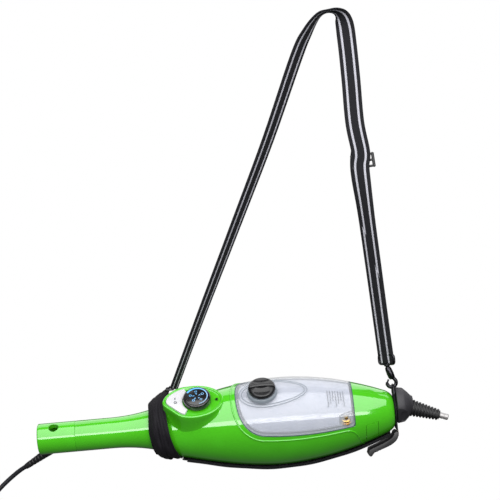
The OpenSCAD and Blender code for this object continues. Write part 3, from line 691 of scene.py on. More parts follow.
def plug():
    """Generic two-pin plug with a grip waist and round pins."""
    x, y, top = (plug_low.x + plug_high.x) / 2, (plug_low.y + plug_high.y) / 2, plug_high.z
    section = [(0, 0), (0, 3.9), (4, 4.3), (4.8, 3.7), (5.8, 3.7), (6.6, 4.9), (8.6, 5.2),
               (9.4, 4.4), (10.4, 4.4), (11.2, 5.9), (15, 6.6), (15, 0)]
    collar = turned("plug_collar", section, sides=32)

    def rule(u, v):
        """Flattened body, waisted for the fingers."""
        angle = 2 * math.pi * u
        z = 13.5 + 24.5 * v
        end = min(1.0, 4 * v + 0.55, 6 * (1 - v) + 0.6)
        waist = 1 - 0.12 * math.sin(math.pi * v) ** 2
        return (13.4 * end * waist * math.cos(angle), 7.4 * end * math.sin(angle), z)
    body = drape("plug_body", 40, 14, rule, merge=True)
    close_ends(body)
    pins = [turned("pin", [(37.5, 0), (37.5, 2), (56, 2), (57, 1.2), (57, 0)], 24,
                   at=(side * 9.5, 0, 0)) for side in (-1, 1)]
    place = ROW @ Matrix.Translation((x, y, top)) @ Matrix.Rotation(math.pi, 4, "X")
    shell = settle(joined("plug_shell", body, collar), place, "casing", RUBBER, "cord_rubber",
                   "mains_plug")
    metal = settle(joined("plug_pins", *pins), place, "casing", STEEL, "steel")
    return shell, metal


cord = power_cord()
relief = strain_relief()
wrap = coil_wrap()
plug_shell, plug_pins = plug()


# ------------------------------------------------------------------ green casing
def shell_section(line, wall, shift=0.0):
    """Closed section of a shell: out along its line and back along its inside."""
    outer = [(x, r + shift) for x, r in line]
    return outer + [(x, r + shift - wall) for x, r in reversed(line)]


def front_arc(grow):
    """Rounded front of the tank's outline, grown by a distance, down to its foot."""
    reach = TANK_CORNER + grow
    return [(TANK_FRONT + TANK_CORNER + reach * math.cos(math.radians(a)),
             TANK_LOW + TANK_CORNER + reach * math.sin(math.radians(a)))
            for a in range(180, 268, 4)]


def frame_line(grow, turn=14):
    """Edge of the tank's frame: round its front, along its foot and down the rear seam."""
    low = TANK_LOW - grow
    corner = Vector((TANK_REAR, low - TANK_FALL))
    foot = Vector((TANK_REAR + SEAM_RUN, SEAM_FOOT))
    along = (Vector((TANK_FRONT + TANK_CORNER, low)) - corner).normalized()
    down = (foot - corner).normalized()
    bend = corner_turn(corner + along * turn, corner, corner + down * turn)
    return front_arc(grow) + bend + [tuple(foot)]


def frame_tool(grow):
    """Everything inside the frame's edge, as a cutting tool."""
    line = frame_line(grow)
    outline = [(PAST_REAR, ABOVE), (TANK_FRONT - grow, ABOVE)] + line + [(PAST_REAR, SEAM_FOOT)]
    return stood(plate("tool", outline, -100, 100))


def tank_edge(grow):
    """The tank's outline grown by a distance: round its front and its lower rear corner."""
    corner = Vector((TANK_REAR + grow, TANK_LOW - TANK_FALL - TANK_DIP - grow))
    along = Vector((-FOOT_RUN, TANK_FALL + TANK_DIP)).normalized()
    return front_arc(grow) + corner_turn(corner + along * 4, corner, corner + Vector((0, 4)))


def tank_tool(grow):
    """Everything inside the tank's outline, as a cutting tool."""
    outline = [(TANK_REAR + grow, ABOVE), (TANK_FRONT - grow, ABOVE)] + tank_edge(grow)
    return stood(plate("tool", outline, -100, 100))


def belly_shell(name, wall=SHELL, shift=0.0, sides=144):
    return turned(name, shell_section(BELLY, wall, shift), sides, "X", (0, 0, -BELLY_DROP))


def edge_bead(name, line, radius, sink=0.0):
    """Bead that runs round the belly along an edge drawn from the side."""
    side = []
    points = [Vector(a).lerp(Vector(b), k / 6) for a, b in zip(line, line[1:]) for k in range(6)]
    for x, z in points:
        r = belly_radius(x) - sink
        if abs(z + BELLY_DROP) < r:
            side.append((x, -math.sqrt(r * r - (z + BELLY_DROP) ** 2), z))
    far = [(x, -y, z) for x, y, z in reversed(side)]
    return wire(name, side + far, radius, closed=True, sides=3)


def casing():
    """Lower and upper shell as one glossy moulding, with a lip along the tank's frame."""
    piece = belly_shell("casing_shell")
    cut(piece, frame_tool(FRAME_WIDTH))
    lip = edge_bead("lip", frame_line(FRAME_WIDTH + 0.5), 1.15, 0.15)
    return settle(joined("casing_shell", piece, lip), ROLLED, "casing", GREEN, "green_shell",
                  "lower_shell", "upper_shell", angle=40)


def rear_cover():
    """Rear cap and the frame round the tank, one moulding, with gaps for the side buttons."""
    piece = belly_shell("rear_cover", shift=-0.35)
    cut(piece, frame_tool(FRAME_WIDTH - 0.5), "INTERSECT")
    cut(piece, tank_tool(1.3))
    gap = 0.45
    for side in (-1, 1):
        cut(piece, side_tool(side, (button_low.x - gap, button_low.z - gap),
                             (button_high.x + gap, button_high.z + gap), *BUTTON_SIDE))
    lip = edge_bead("lip", tank_edge(1.6) + [(TANK_REAR + 1.6, 60)], 0.45, 0.5)
    return settle(joined("rear_cover", piece, lip), ROLLED, "casing", GREEN, "green_shell",
                  "rear_cap", angle=40)


def release_buttons():
    """Side catches: a plate in the rear cap's gap, and the stem behind it."""
    for side, name, body in ((-1, "left", "left_catch"), (1, "right", "right_catch")):
        piece = belly_shell("release_" + name, wall=3.4, shift=-0.2)
        cut(piece, side_tool(side, (button_low.x, button_low.z), (button_high.x, button_high.z),
                             *BUTTON_SIDE), "INTERSECT")
        stem = turned("stem", [(18.2, 0), (18.2, 2.5), (35, 2.5), (35, 0)], 24)
        moved(stem, ((button_low.x + button_high.x) / 2, 0, (button_low.z + button_high.z) / 2),
              (math.radians(-90 * side), 0, 0))
        settle(joined("release_button_plate_" + name, piece, stem), ROLLED, body, GREEN,
               "green_shell", "release_button_" + name, angle=40)


def handle():
    """Handle tube with its flare, and the end collar with the snap hole."""
    line = [(collar_high.x, TUBE_R - 0.5), (collar_high.x + 0.15, TUBE_R - 0.15),
            (collar_high.x + 0.5, TUBE_R)] + curve(HANDLE_FLARE, 24)
    tube = turned("handle_grip", shell_section(line, 3), 96, "X")
    settle(tube, ROLLED, "casing", GREEN, "green_shell", "handle_tube", angle=40)
    end = [(0, TUBE_R - 2.6), (0, TUBE_R - 1.4), (0.4, TUBE_R - 0.5), (1.3, TUBE_R)]
    line = end + [(x, TUBE_R) for x in range(4, int(collar_high.x) - 2, 3)]
    line += [(collar_high.x - 0.5, TUBE_R), (collar_high.x - 0.15, TUBE_R - 0.15),
             (collar_high.x, TUBE_R - 0.5), (collar_high.x, TUBE_R - 2.6)]
    collar = turned("end_collar", line, 96, "X")
    hole = Vector(MOUNTS["snap_hole"]["pos_m"])
    hole_x = (ROLLED.inverted() @ hole).x
    hole_r = MOUNTS["snap_hole"]["dims"]["r_mm"]
    cut(collar, turned("tool", [(5, 0), (5, hole_r), (TUBE_R - 0.6, hole_r),
                                (TUBE_R + 0.6, hole_r + 1.2), (40, hole_r + 1.2), (40, 0)],
                       48, at=(hole_x, 0, 0)))
    settle(collar, ROLLED, "casing", GREEN, "green_shell", "handle_collar", angle=40)


# ------------------------------------------------------------------ tank
def tank():
    """Clear vessel, pale liner seen through it, dark gasket, embossed rings and marks."""
    solid = [(x, r) for x, r in BELLY if 240 < x < 440]
    section = [(solid[0][0], 0)] + solid + [(solid[-1][0], 0)]
    vessel = turned("tank_vessel", section, 144, "X", (0, 0, -BELLY_DROP))
    cut(vessel, tank_tool(0), "INTERSECT")
    inner = turned("hollow", [(p[0], max(p[1] - 2.2, 0)) for p in section], 96, "X",
                   (0, 0, -BELLY_DROP))
    cut(inner, tank_tool(-2.2), "INTERSECT")
    cut(vessel, inner)
    settle(vessel, ROLLED, "casing", CLEAR, "clear_tank", "water_tank", angle=40)

    liner = turned("tank_liner", [(p[0], max(p[1] - 3.6, 0)) for p in section], 96, "X",
                   (0, 0, -BELLY_DROP))
    cut(liner, tank_tool(-2.4), "INTERSECT")
    cut(liner, block("tool", (395, -60, -60), (413.5, -23, 28), 2))
    settle(liner, ROLLED, "casing", LINER, "clear_tank", angle=40)

    seal = belly_shell("tank_seal", wall=2.4, shift=-0.1)
    cut(seal, tank_tool(1.2), "INTERSECT")
    cut(seal, tank_tool(0.1))
    settle(seal, ROLLED, "casing", GASKET, "seal_rubber", "tank_gasket", angle=40)

    rings = []
    for shrink in (0, 3.4):
        points = []
        for k in range(72):
            a = 2 * math.pi * k / 72
            x = 313 + (44.5 - shrink) * math.cos(a)
            y = (22.6 - shrink) * math.sin(a) * (1 - 0.18 * math.cos(a))
            r = belly_radius(x) + 0.05
            points.append((x, y, math.sqrt(r * r - y * y) - BELLY_DROP))
        rings.append(wire("ring", points, 0.55, closed=True, sides=2))
    section = [(cap_low.z - 5, CAP_R - 5), (cap_low.z - 5, CAP_R + 2.4),
               (cap_low.z - 2.2, CAP_R + 1.6), (cap_low.z - 1.4, CAP_R + 0.6),
               (cap_low.z - 1.2, CAP_R - 5)]
    rings.append(turned("neck_collar", section, 64, at=(CAP_X, 0, 0)))
    settle(joined("tank_rings", *rings), ROLLED, "casing", EMBOSSED, "clear_tank", angle=50)

    nut = turned("nut", [(0, 0), (0, 7.2), (1.6, 7.2), (1.8, 3), (7, 3), (9, 2.6), (9, 0)], 32)
    flats = turned("flats", [(1.4, 0), (1.4, 6.4), (5.4, 6.4), (5.4, 0)], 6)
    soften(flats, 0.4, 2)
    nut = joined("pickup_nut", nut, flats)
    floor = TANK_LOW - (TANK_FALL + TANK_DIP) * 0.92 + 2.3
    moved(nut, (404, -33, floor))
    settle(nut, ROLLED, "casing", BRASS, "brass", "pickup_fitting", angle=30)

    marks = []
    for k in range(7):
        x = 383 + 3.4 * k
        for step in range(6 - (k % 3)):
            a = 3 + 4.6 * step
            points = [on_belly(x, math.radians(a + 1.1 * d), 0.05) for d in range(4)]
            marks.append(wire("mark", points, 0.4, sides=1))
    settle(joined("tank_level_marks", *marks), ROLLED, "casing", PRINT, "dial_print")


def cap():
    """Filler cap: low dome with a straight grip across it."""
    base, top = cap_low.z, cap_high.z
    section = [(base, 0), (base, CAP_R - 0.5), (base + 0.5, CAP_R), (base + 3, CAP_R)]
    section += [(base + 3 + 5.5 * math.sin(math.radians(a)), CAP_R * math.cos(math.radians(a)))
                for a in range(8, 90, 8)] + [(base + 8.5, 0)]
    dome = turned("dome", section, 64, at=(CAP_X, 0, 0))
    for side in (-1, 1):
        # finger scoops on both sides of the grip
        bpy.ops.mesh.primitive_uv_sphere_add(segments=48, ring_count=24, radius=1)
        scoop = new_piece("scoop")
        scoop.scale = (14.5, 9.2, 5.2)
        cut(dome, moved(scoop, (CAP_X, side * 10.6, base + 9.6)))

    def rule(u, v):
        """Grip, highest and thickest in its middle."""
        x = (CAP_R - 1.2) * (2 * u - 1)
        crown = math.sqrt(max(0.0, 1 - (2 * u - 1) ** 2 * 0.92))
        angle = math.pi * v
        half = 2.6 + 1.0 * crown
        rise = base + 4.5 + (top - base - 4.5) * (0.42 + 0.58 * crown) * math.sin(angle) ** 0.6
        return (CAP_X + x, half * math.cos(angle), rise)
    grip = drape("grip", 28, 12, rule)
    close_ends(grip)
    soften(dome, 0.3, 2, 30)
    return settle(joined("filler_cap", dome, grip), ROLLED, "cap", CAP_BLACK, "black_plastic",
                  "cap_knob", angle=45)


# ------------------------------------------------------------------ controls
def deck_point(a, grow=0.0):
    """Pear outline of the deck, narrower in front of the dial."""
    pinch = 0.34 if math.sin(a) < 0 else 0.14
    narrow = 1.05 * (1 - pinch * ease((-math.cos(a) - 0.35) / 0.65))
    return (DECK_FRONT + DECK_LENGTH / 2 + (DECK_LENGTH / 2 + grow) * math.cos(a),
            (DECK_WIDTH / 2 * narrow + grow) * math.sin(a))


def deck_rise(x):
    """How far the deck's front end stands above the dial's floor."""
    return 2.6 * ease((206 - x) / 30)


def control_deck():
    """Deck with a rounded rim, a sunk floor and a foot that runs into the belly."""
    rings = [(-24, -1.6), (-14, -1.6), (-5.2, -1.6), (-4.2, -1.5), (-3.7, -1.1), (-3.3, -0.3),
             (-2.6, 0), (-1.4, 0.1), (-0.5, -0.1), (0.1, -0.8), (0.35, -2)]
    steps = 9

    def rule(u, v):
        k = round(v * (len(rings) - 1 + steps))
        a = 2 * math.pi * u
        if k < len(rings):
            x, y = deck_point(a, rings[k][0])
            return (x, y, DECK_TOP + rings[k][1] + deck_rise(x))
        t = (k - len(rings) + 1) / steps
        x, y = deck_point(a, rings[-1][0] + 8.5 * t ** 2.1)
        foot_x, foot_y = deck_point(a, rings[-1][0] + 8.5)
        foot = math.sqrt(belly_radius(foot_x) ** 2 - foot_y ** 2) - BELLY_DROP - 1
        top = DECK_TOP + rings[-1][1] + deck_rise(x)
        return (x, y, top + (foot - top) * (1 - (1 - t) ** 1.8))
    piece = drape("control_deck", 96, len(rings) - 1 + steps, rule, merge=True)
    close_ends(piece)
    return settle(piece, ROLLED, "casing", GREEN, "green_shell", "upper_deck", angle=50)


def rocker():
    """White crescent in front of the dial, with two plain marks."""
    inner, reach = DIAL_R + 1.4, DIAL_X - 16.5
    outline = []
    for k in range(97):
        x, y = deck_point(2 * math.pi * k / 96, -4.6)
        if x < reach:
            outline.append((x, y))
    low, high = outline[-1], outline[0]
    start = math.degrees(math.atan2(low[1], low[0] - DIAL_X)) % 360
    end = math.degrees(math.atan2(high[1], high[0] - DIAL_X)) % 360
    outline += circle(DIAL_X, 0, inner, 24, start, end)[1:-1]
    piece = plate("rocker_switch", outline, switch_high.z - 5, switch_high.z, 0.7, 3)
    for vertex in piece.data.vertices:
        vertex.co.z += deck_rise(vertex.co.x)
    settle(piece, ROLLED, "rocker", WHITE, "white_plastic", "power_switch", angle=40)
    top = switch_high.z + deck_rise(185.3)
    bar = plate("bar", [(184.6, 2.2), (186, 2.2), (186, 6), (184.6, 6)], top - 0.1, top + 0.15)
    ring = turned("ring", [(top - 0.1, 1.0), (top + 0.15, 1.0), (top + 0.15, 2.2),
                           (top - 0.1, 2.2)], 24, at=(185.6, -2.6, 0))
    settle(joined("switch_marks", bar, ring), ROLLED, "rocker", PRINT, "dial_print")


def dial():
    """Steam dial with a chamfered rim, its printed face and plain symbols."""
    base, top = dial_low.z, dial_high.z
    section = [(base, 0), (base, DIAL_R - 0.6), (base + 0.6, DIAL_R), (top - 2.2, DIAL_R),
               (top - 1.2, DIAL_R - 0.25), (top - 0.35, DIAL_R - 0.9), (top, DIAL_R - 1.7),
               (top - 0.15, DIAL_R - 2.1), (top - 0.3, DIAL_R - 2.3), (top - 0.3, 0)]
    knob = turned("steam_dial_knob", section, 96, at=(DIAL_X, 0, 0))
    settle(knob, ROLLED, "dial", DIAL_BLACK, "dial_black", "steam_dial", angle=40)

    face_top = span("dial_face", ROLLED)[1].z
    face = turned("face", [(top - 0.4, 0), (top - 0.4, DIAL_R - 2.4),
                           (face_top - 0.1, DIAL_R - 2.4), (face_top, DIAL_R - 2.7),
                           (face_top, 0)], 96, at=(DIAL_X, 0, 0))
    settle(face, ROLLED, "dial", DIAL_BLACK, "dial_black", "dial_face", angle=40)

    prints = []

    def ink(outline):
        prints.append(plate("ink", [(x + DIAL_X, y) for x, y in outline], face_top - 0.05,
                            face_top + 0.12))
    for k in range(6):
        start = 150 - k * 38
        outer = circle(0, 0, DIAL_R - 3.1 - 0.12 * k, 8, start - 37.5, start)
        inner = circle(0, 0, DIAL_R - 5.2 + 0.12 * k, 8, start - 37.5, start)
        ink(outer + inner[::-1])
    for k, sides in enumerate((4, 24, 4, 24, 6)):
        a = math.radians(96 - 72 * k)
        centre = Vector((8.3 * math.cos(a), 8.3 * math.sin(a)))
        along = centre.normalized()
        across = Vector((-along.y, along.x))

        def local(points):
            return [tuple(centre + along * p + across * q) for p, q in points]
        ring = circle(0, 0, 1.9, sides, 45, 405)
        hole = circle(0, 0, 1.25, sides, 45, 405)
        for i in range(sides):
            j = (i + 1) % sides
            ink(local([ring[i], ring[j], hole[j], hole[i]]))
        ink(local([(-5.6, -0.3), (-3.0, -0.3), (-3.0, 0.3), (-5.6, 0.3)]))
        ink(local([(-3.9, -1.2), (-3.3, -1.2), (-3.3, 1.2), (-3.9, 1.2)]))
    settle(joined("dial_symbols", *prints), ROLLED, "dial", DIAL_PRINT, "dial_print")


# ------------------------------------------------------------------ connector
def steam_connector():
    """Nose, square-shouldered dome with flats, and its two ledges."""
    low, high = span("connector_body", ROLLED)
    middle = (low.z + high.z) / 2
    flat = (high.y - low.y) / 2
    dome = (high.z - low.z) / 2 + 2.2
    section = [(474, 9), (474, dome - 1.2), (474.4, dome - 0.3), (475.2, dome), (483, dome - 1.2),
               (484.4, dome - 2), (490.2, dome - 7.6), (491.2, dome - 9), (494, 11.6),
               (high.x, 10.6), (high.x, 2.6), (480, 2.6), (480, 9)]
    piece = turned("connector_shell", section, 96, "X", (0, DOME_SHIFT[0], middle + DOME_SHIFT[1]))
    for side in (-1, 1):
        cut(piece, side_tool(side, (470, -60), (PAST_REAR, 60), flat, 60, DOME_SHIFT[0]))
        cut(piece, side_tool(side, (478, middle - 7), (488, middle + 11), flat - 0.9, 60,
                             DOME_SHIFT[0], 1.6))
    soften(piece, 0.5, 2, 30)
    nose = turned("nose", [(low.x, 2.6), (low.x, 10), (low.x + 1, 11), (476, 11), (476, 2.6)],
                  64, "X", (0, 0, middle))
    piece = joined("connector_shell", piece, nose)
    settle(piece, ROLLED, "connector", SATIN, "black_plastic", "connector_body", angle=40)


def boot_place():
    """Frame of the ribbed boot: its axis along the steam outlet's."""
    mount = MOUNTS["steam_outlet"]
    out = Vector(mount["axis"]).normalized()
    return axes(out, out.cross(Vector((0, 1, 0))), Vector(mount["pos_m"]))


def boot():
    """Ribbed boot, a rounded rib at a time, and the metal stub."""
    place = boot_place()
    low, high = span("ribbed_boot", place)
    ribs, length = 9, high.x - low.x
    pitch = length / ribs
    section = [(low.x, 2.9), (low.x, 9.6)]
    for k in range(ribs):
        x, r = low.x + k * pitch, 11.2 - 0.44 * k
        section += [(x + pitch * t, r - 0.2 * t - 0.9 * (1 - math.sin(math.pi * s) ** 0.5))
                    for t, s in ((0.06, 0.05), (0.14, 0.2), (0.32, 0.5), (0.5, 0.8), (0.58, 0.95))]
        section += [(x + pitch * 0.64, r - 2.0), (x + pitch * 0.94, r - 2.1)]
    section += [(high.x - 0.2, 6.2), (high.x, 5.6), (high.x, 2.9)]
    piece = turned("ribbed_sleeve", section, 48, "X")
    # two plain side bars tie the ribs together
    bars = [block("bar", (low.x + 1, side * 6.4 - 1.2, -2.6), (high.x - 1.5, side * 6.4 + 1.2, 2.6),
                  0.6) for side in (-1, 1)]
    settle(joined("ribbed_sleeve", piece, *bars), place, "connector", RUBBER, "black_plastic",
           "ribbed_boot", angle=40)
    low, high = span("outlet_tube", place)
    r = MOUNTS["steam_outlet"]["dims"]["r_mm"]
    section = [(low.x, 2.8), (low.x, 3.6), (high.x - 12, 3.6), (high.x - 12, r), (high.x - 7, r),
               (high.x - 6.6, r - 0.5), (high.x - 5.8, r - 0.5), (high.x - 5.4, r),
               (high.x - 0.8, r), (high.x, r - 0.7), (high.x, 2.8)]
    stub = turned("steam_stub", section, 48, "X")
    settle(stub, place, "connector", STUB, "outlet_metal", "outlet_tube", angle=40)


# ------------------------------------------------------------------ harness
STRAP_Y = 2
WEB_WIDTH = 25
WEB_THICK = 1.6


def neck_belt():
    """Fabric belt round the neck, drawn up to the strap and rucked round its middle."""
    def rule(u, v):
        around = 2 * math.pi * u
        y, z = math.cos(around), math.sin(around)
        rise = abs(math.atan2(y, z)) / math.radians(30)
        tent = math.exp(-rise ** 2.4)
        radius = 29.5 + 7.5 * ease(v * 3.2) + 1.6 * v + 0.8 * math.sin(math.pi * v)
        peak = 33 + 21 * v ** 0.7
        radius += (peak - radius) * tent
        fold = 0.75 * math.sin(2 * math.pi * (3.1 * v + 0.22 * math.sin(2 * around + 1.0)))
        fold += 0.45 * math.sin(2 * math.pi * (6.3 * v + 0.31 * math.cos(3 * around)))
        slow = 1.6 * noise.noise(Vector((2.2 * y, 2.2 * z, 3 * v)))
        hem = 0.9 * (math.exp(-(v / 0.05) ** 2) + math.exp(-((1 - v) / 0.05) ** 2))
        radius += (fold * math.sin(math.pi * v) ** 0.5 + slow) * (1 - 0.6 * tent) + hem
        height = radius * z - 1
        left = 148 + 0.0035 * (height - 8) ** 2 * (1 - 0.6 * tent)
        right = 174.5 - 0.13 * height + (0.0044 * height * height if height < 0 else 0)
        right += (179 - right) * tent
        return (left + (right - left) * v, radius * y + STRAP_Y, height)
    piece = drape("harness_belt", 180, 36, rule, merge=True)
    thicken(piece, 1.5)
    return settle(piece, UNIT, "casing", BELT, "belt_fabric", "neck_belt", angle=80)


def ribbon(name, stations):
    """Flat webbing through (point, turn) stations, its turn in degrees."""
    last = len(stations) - 1

    def at(t, pick):
        i = min(int(t), last - 1)
        f = t - i
        a, b, c, d = (pick(stations[min(max(k, 0), last)])
                      for k in (i - 1, i, i + 1, i + 2))
        return (b * 2 + (c - a) * f + (a * 2 - b * 5 + c * 4 - d) * f * f
                + (b * 3 - a - c * 3 + d) * f * f * f) * 0.5

    def rule(u, v):
        t = u * last
        here = at(t, lambda s: Vector(s[0]))
        ahead = at(min(t + 0.02, last), lambda s: Vector(s[0]))
        behind = at(max(t - 0.02, 0.0), lambda s: Vector(s[0]))
        tangent = (ahead - behind).normalized()
        turn = math.radians(at(t, lambda s: float(s[1])))
        flat = Vector((tangent.z, 0, -tangent.x)).normalized()
        wide = flat * math.sin(turn) + Vector((0, -1, 0)) * math.cos(turn)
        face = flat * math.cos(turn) + Vector((0, 1, 0)) * math.sin(turn)
        cup = 0.5 * (1 - (2 * v - 1) ** 2)
        return here + wide * WEB_WIDTH * (v - 0.5) + face * cup
    piece = drape(name, 6 * last, 6, rule)
    thicken(piece, WEB_THICK, offset=0)
    soften(piece, 0.35, 2, 60)
    return piece


def strap():
    """Shoulder strap with its slider, doubled below it."""
    loop_low, loop_high = span("belt_loop", UNIT)
    eye_low, eye_high = span("hook_eye", UNIT)
    back = ROW.inverted() @ UNIT
    left = back @ Vector(((loop_low.x + loop_high.x) / 2 + 4, 0, loop_low.z + 0.5))
    right = back @ Vector(((eye_low.x + eye_high.x) / 2, 0, eye_low.z + 0.9))
    top_left, top_right = (-40, -60), (28, -42)

    def leg(a, b, t, bow):
        return (a[0] + (b[0] - a[0]) * t + bow, a[1] + (b[1] - a[1]) * t)
    route = [(*leg((left.x, left.z), top_left, t, bow), turn) for t, bow, turn in (
        (0, 0, 21), (0.03, 0, 21), (0.12, 0, 22), (0.25, 0.5, 25), (0.5, 2, 30), (0.75, 3, 35),
        (1, 0, 39))]
    route += [(-26, -28, 30), (-12, -6, 12), (1, 1, 0), (14, 0, 15), (23, -12, 60),
              (*top_right, 90), (33, -90, 90), (38, -146, 90), (46, -186, 90)]
    lower = [(*leg((45, -208), (right.x, right.z), t, 0), turn) for t, turn in (
        (0, 78), (0.2, 50), (0.5, 44), (0.8, 42), (1, 42))]

    def stations(points, side):
        """Stations shifted to one side of the webbing, each turned its angle back."""
        out = []
        for x, z, turn in points:
            y = STRAP_Y if z < -400 else 0
            angle = math.radians(-turn)
            out.append(((x + side * math.cos(angle), y + side * math.sin(angle), z), -turn))
        return out
    front = ribbon("strap_webbing", stations(route + lower, WEB_THICK * 0.55))
    settle(front, ROW, "casing", WEBBING, "webbing", "shoulder_strap", angle=60)
    tail = ribbon("strap_return", stations([(45.6, -184, 90)] + lower, -WEB_THICK * 0.65))
    settle(tail, ROW, "casing", WEBBING, "webbing", angle=60)

    half = WEB_WIDTH / 2 + 1.4
    bars = []
    for z in (-8, 0, 8):
        bars.append(wire("bar", [(-half, 0, z), (half, 0, z)], 1.6, sides=4))
    for side in (-1, 1):
        bars.append(wire("bar", [(side * half, 0, -8), (side * half, 0, 8)], 2.0, sides=4))
    for x in (-half, half):
        for z in (-8, 8):
            bpy.ops.mesh.primitive_uv_sphere_add(segments=16, ring_count=10, radius=2.1)
            bars.append(moved(new_piece("corner"), (x, 0, z)))
    slider = joined("webbing_slider", *bars)
    place = ROW @ Matrix.Translation((49, 1.6, -197)) @ Matrix.Rotation(math.radians(-9), 4, "Y")
    settle(slider, place, "casing", BLACK, "black_plastic", "strap_slider", angle=50)

    ring = rounded([(loop_low.x, loop_low.y), (loop_high.x, loop_low.y),
                    (loop_high.x, loop_high.y), (loop_low.x, loop_high.y)], 3)
    level = (loop_low.z + loop_high.z) / 2
    loop = wire("belt_ring", [(x, y, level - 2) for x, y in ring], 1.1, closed=True)
    settle(loop, UNIT, "casing", BLACK, "black_plastic", "belt_loop", angle=50)


def belly_strap():
    """Webbing under the belly, two layers with a stitched end."""
    low, high = span("under_strap", UNIT)

    def rule_for(out, start, end):
        def rule(u, v):
            x = start + (end - start) * u
            y = STRAP_Y + WEB_WIDTH * (v - 0.5)
            r = belly_radius(x) + out + 0.25 * math.sin(x * 0.11)
            return (x, y, -math.sqrt(r * r - y * y) - BELLY_DROP)
        return rule
    layers = [drape("layer", 90, 6, rule_for(1.3, low.x, high.x)),
              drape("layer", 90, 6, rule_for(3.1, low.x + 6, high.x + 3))]
    for layer in layers:
        thicken(layer, 1.5, offset=0)
    piece = joined("under_webbing", *layers)
    soften(piece, 0.3, 2, 60)
    settle(piece, UNIT, "casing", PLAIN_WEB, "webbing", "under_strap", angle=60)

    low, high = span("end_loop", UNIT)
    ring_low = span("d_ring", UNIT)[0]
    x = (low.x + high.x) / 2
    nose_z = -2.3

    def rear(u, v):
        """Webbing that climbs the rear face, parting round the connector's nose."""
        z = low.z + (ring_low.z + 1.2 - low.z) * v
        side = 2 * u - 1
        near = math.sqrt(max(0.0, 1 - ((z - nose_z) / 19) ** 2))
        inner = 12.8 * math.sqrt(max(0.0, 1 - ((z - nose_z) / 12.8) ** 2))
        outer = max(WEB_WIDTH / 2, 18.5 * near)
        y = side * outer
        if abs(side) > 0.001:
            y = math.copysign(inner + (outer - inner) * abs(side), side)
        return (x, STRAP_Y + y, z)
    halves = []
    for side in (0, 1):
        def half(u, v, side=side):
            s = 0.5 + (0.5 * u + 0.0011) * (1 if side else -1)
            return rear(s, v)
        halves.append(drape("half", 8, 48, half))
        thicken(halves[-1], 2.0, offset=0)
    tab = block("tab", (x - 1.6, STRAP_Y - 7, ring_low.z - 4),
                (x + 2.6, STRAP_Y + 7, ring_low.z + 10.5), 1.4)
    piece = joined("rear_webbing", *halves, tab)
    soften(piece, 0.3, 2, 60)
    settle(piece, UNIT, "casing", PLAIN_WEB, "webbing", "end_loop", angle=60)


def buckle():
    """Side-release buckle, curved, with a slot bar and a rounded toe."""
    low, high = span("harness_buckle", UNIT)
    end = high.x - 3
    top = curve(((end - 3, -32), (end - 4, -40), (end - 18, -43.5), (end - 37, -51)), 10)
    bottom = curve(((end - 31, -55), (end - 16, -49), (end + 3, -47), (end + 3, -31)), 10)
    outline = [(end - 39, -57.5)] + circle(end - 36, -57, 2.6, 8, 180, 300) + bottom \
        + [(end, -29.8)] + top
    half = (high.y - low.y) / 2
    piece = plate("strap_buckle", outline, -half, half, 0.8, 3)
    stood(piece)
    for vertex in piece.data.vertices:
        vertex.co.y += (low.y + high.y) / 2
    ribs = []
    for k in range(4):
        x = end - 27 + 4.2 * k
        z = -54.2 + 1.9 * k
        ribs.append(wire("rib", [(x, low.y + 4, z), (x, high.y - 4, z)], 0.7, sides=3))
    settle(joined("strap_buckle", piece, *ribs), UNIT, "casing", BLACK, "black_plastic",
           "harness_buckle", angle=40)

    low, high = span("size_tag", UNIT)

    def rule(u, v):
        bow = 0.9 * math.sin(math.pi * u) + 0.5 * math.sin(5 * v)
        return (high.x - 0.6 + bow * 0.4, low.y + (high.y - low.y) * v,
                low.z + (high.z - low.z) * u)
    tag = drape("blank_tag", 16, 16, rule)
    thicken(tag, 0.5, offset=0)
    settle(tag, UNIT, "casing", TAG, "tag_fabric", "size_tag", angle=60)


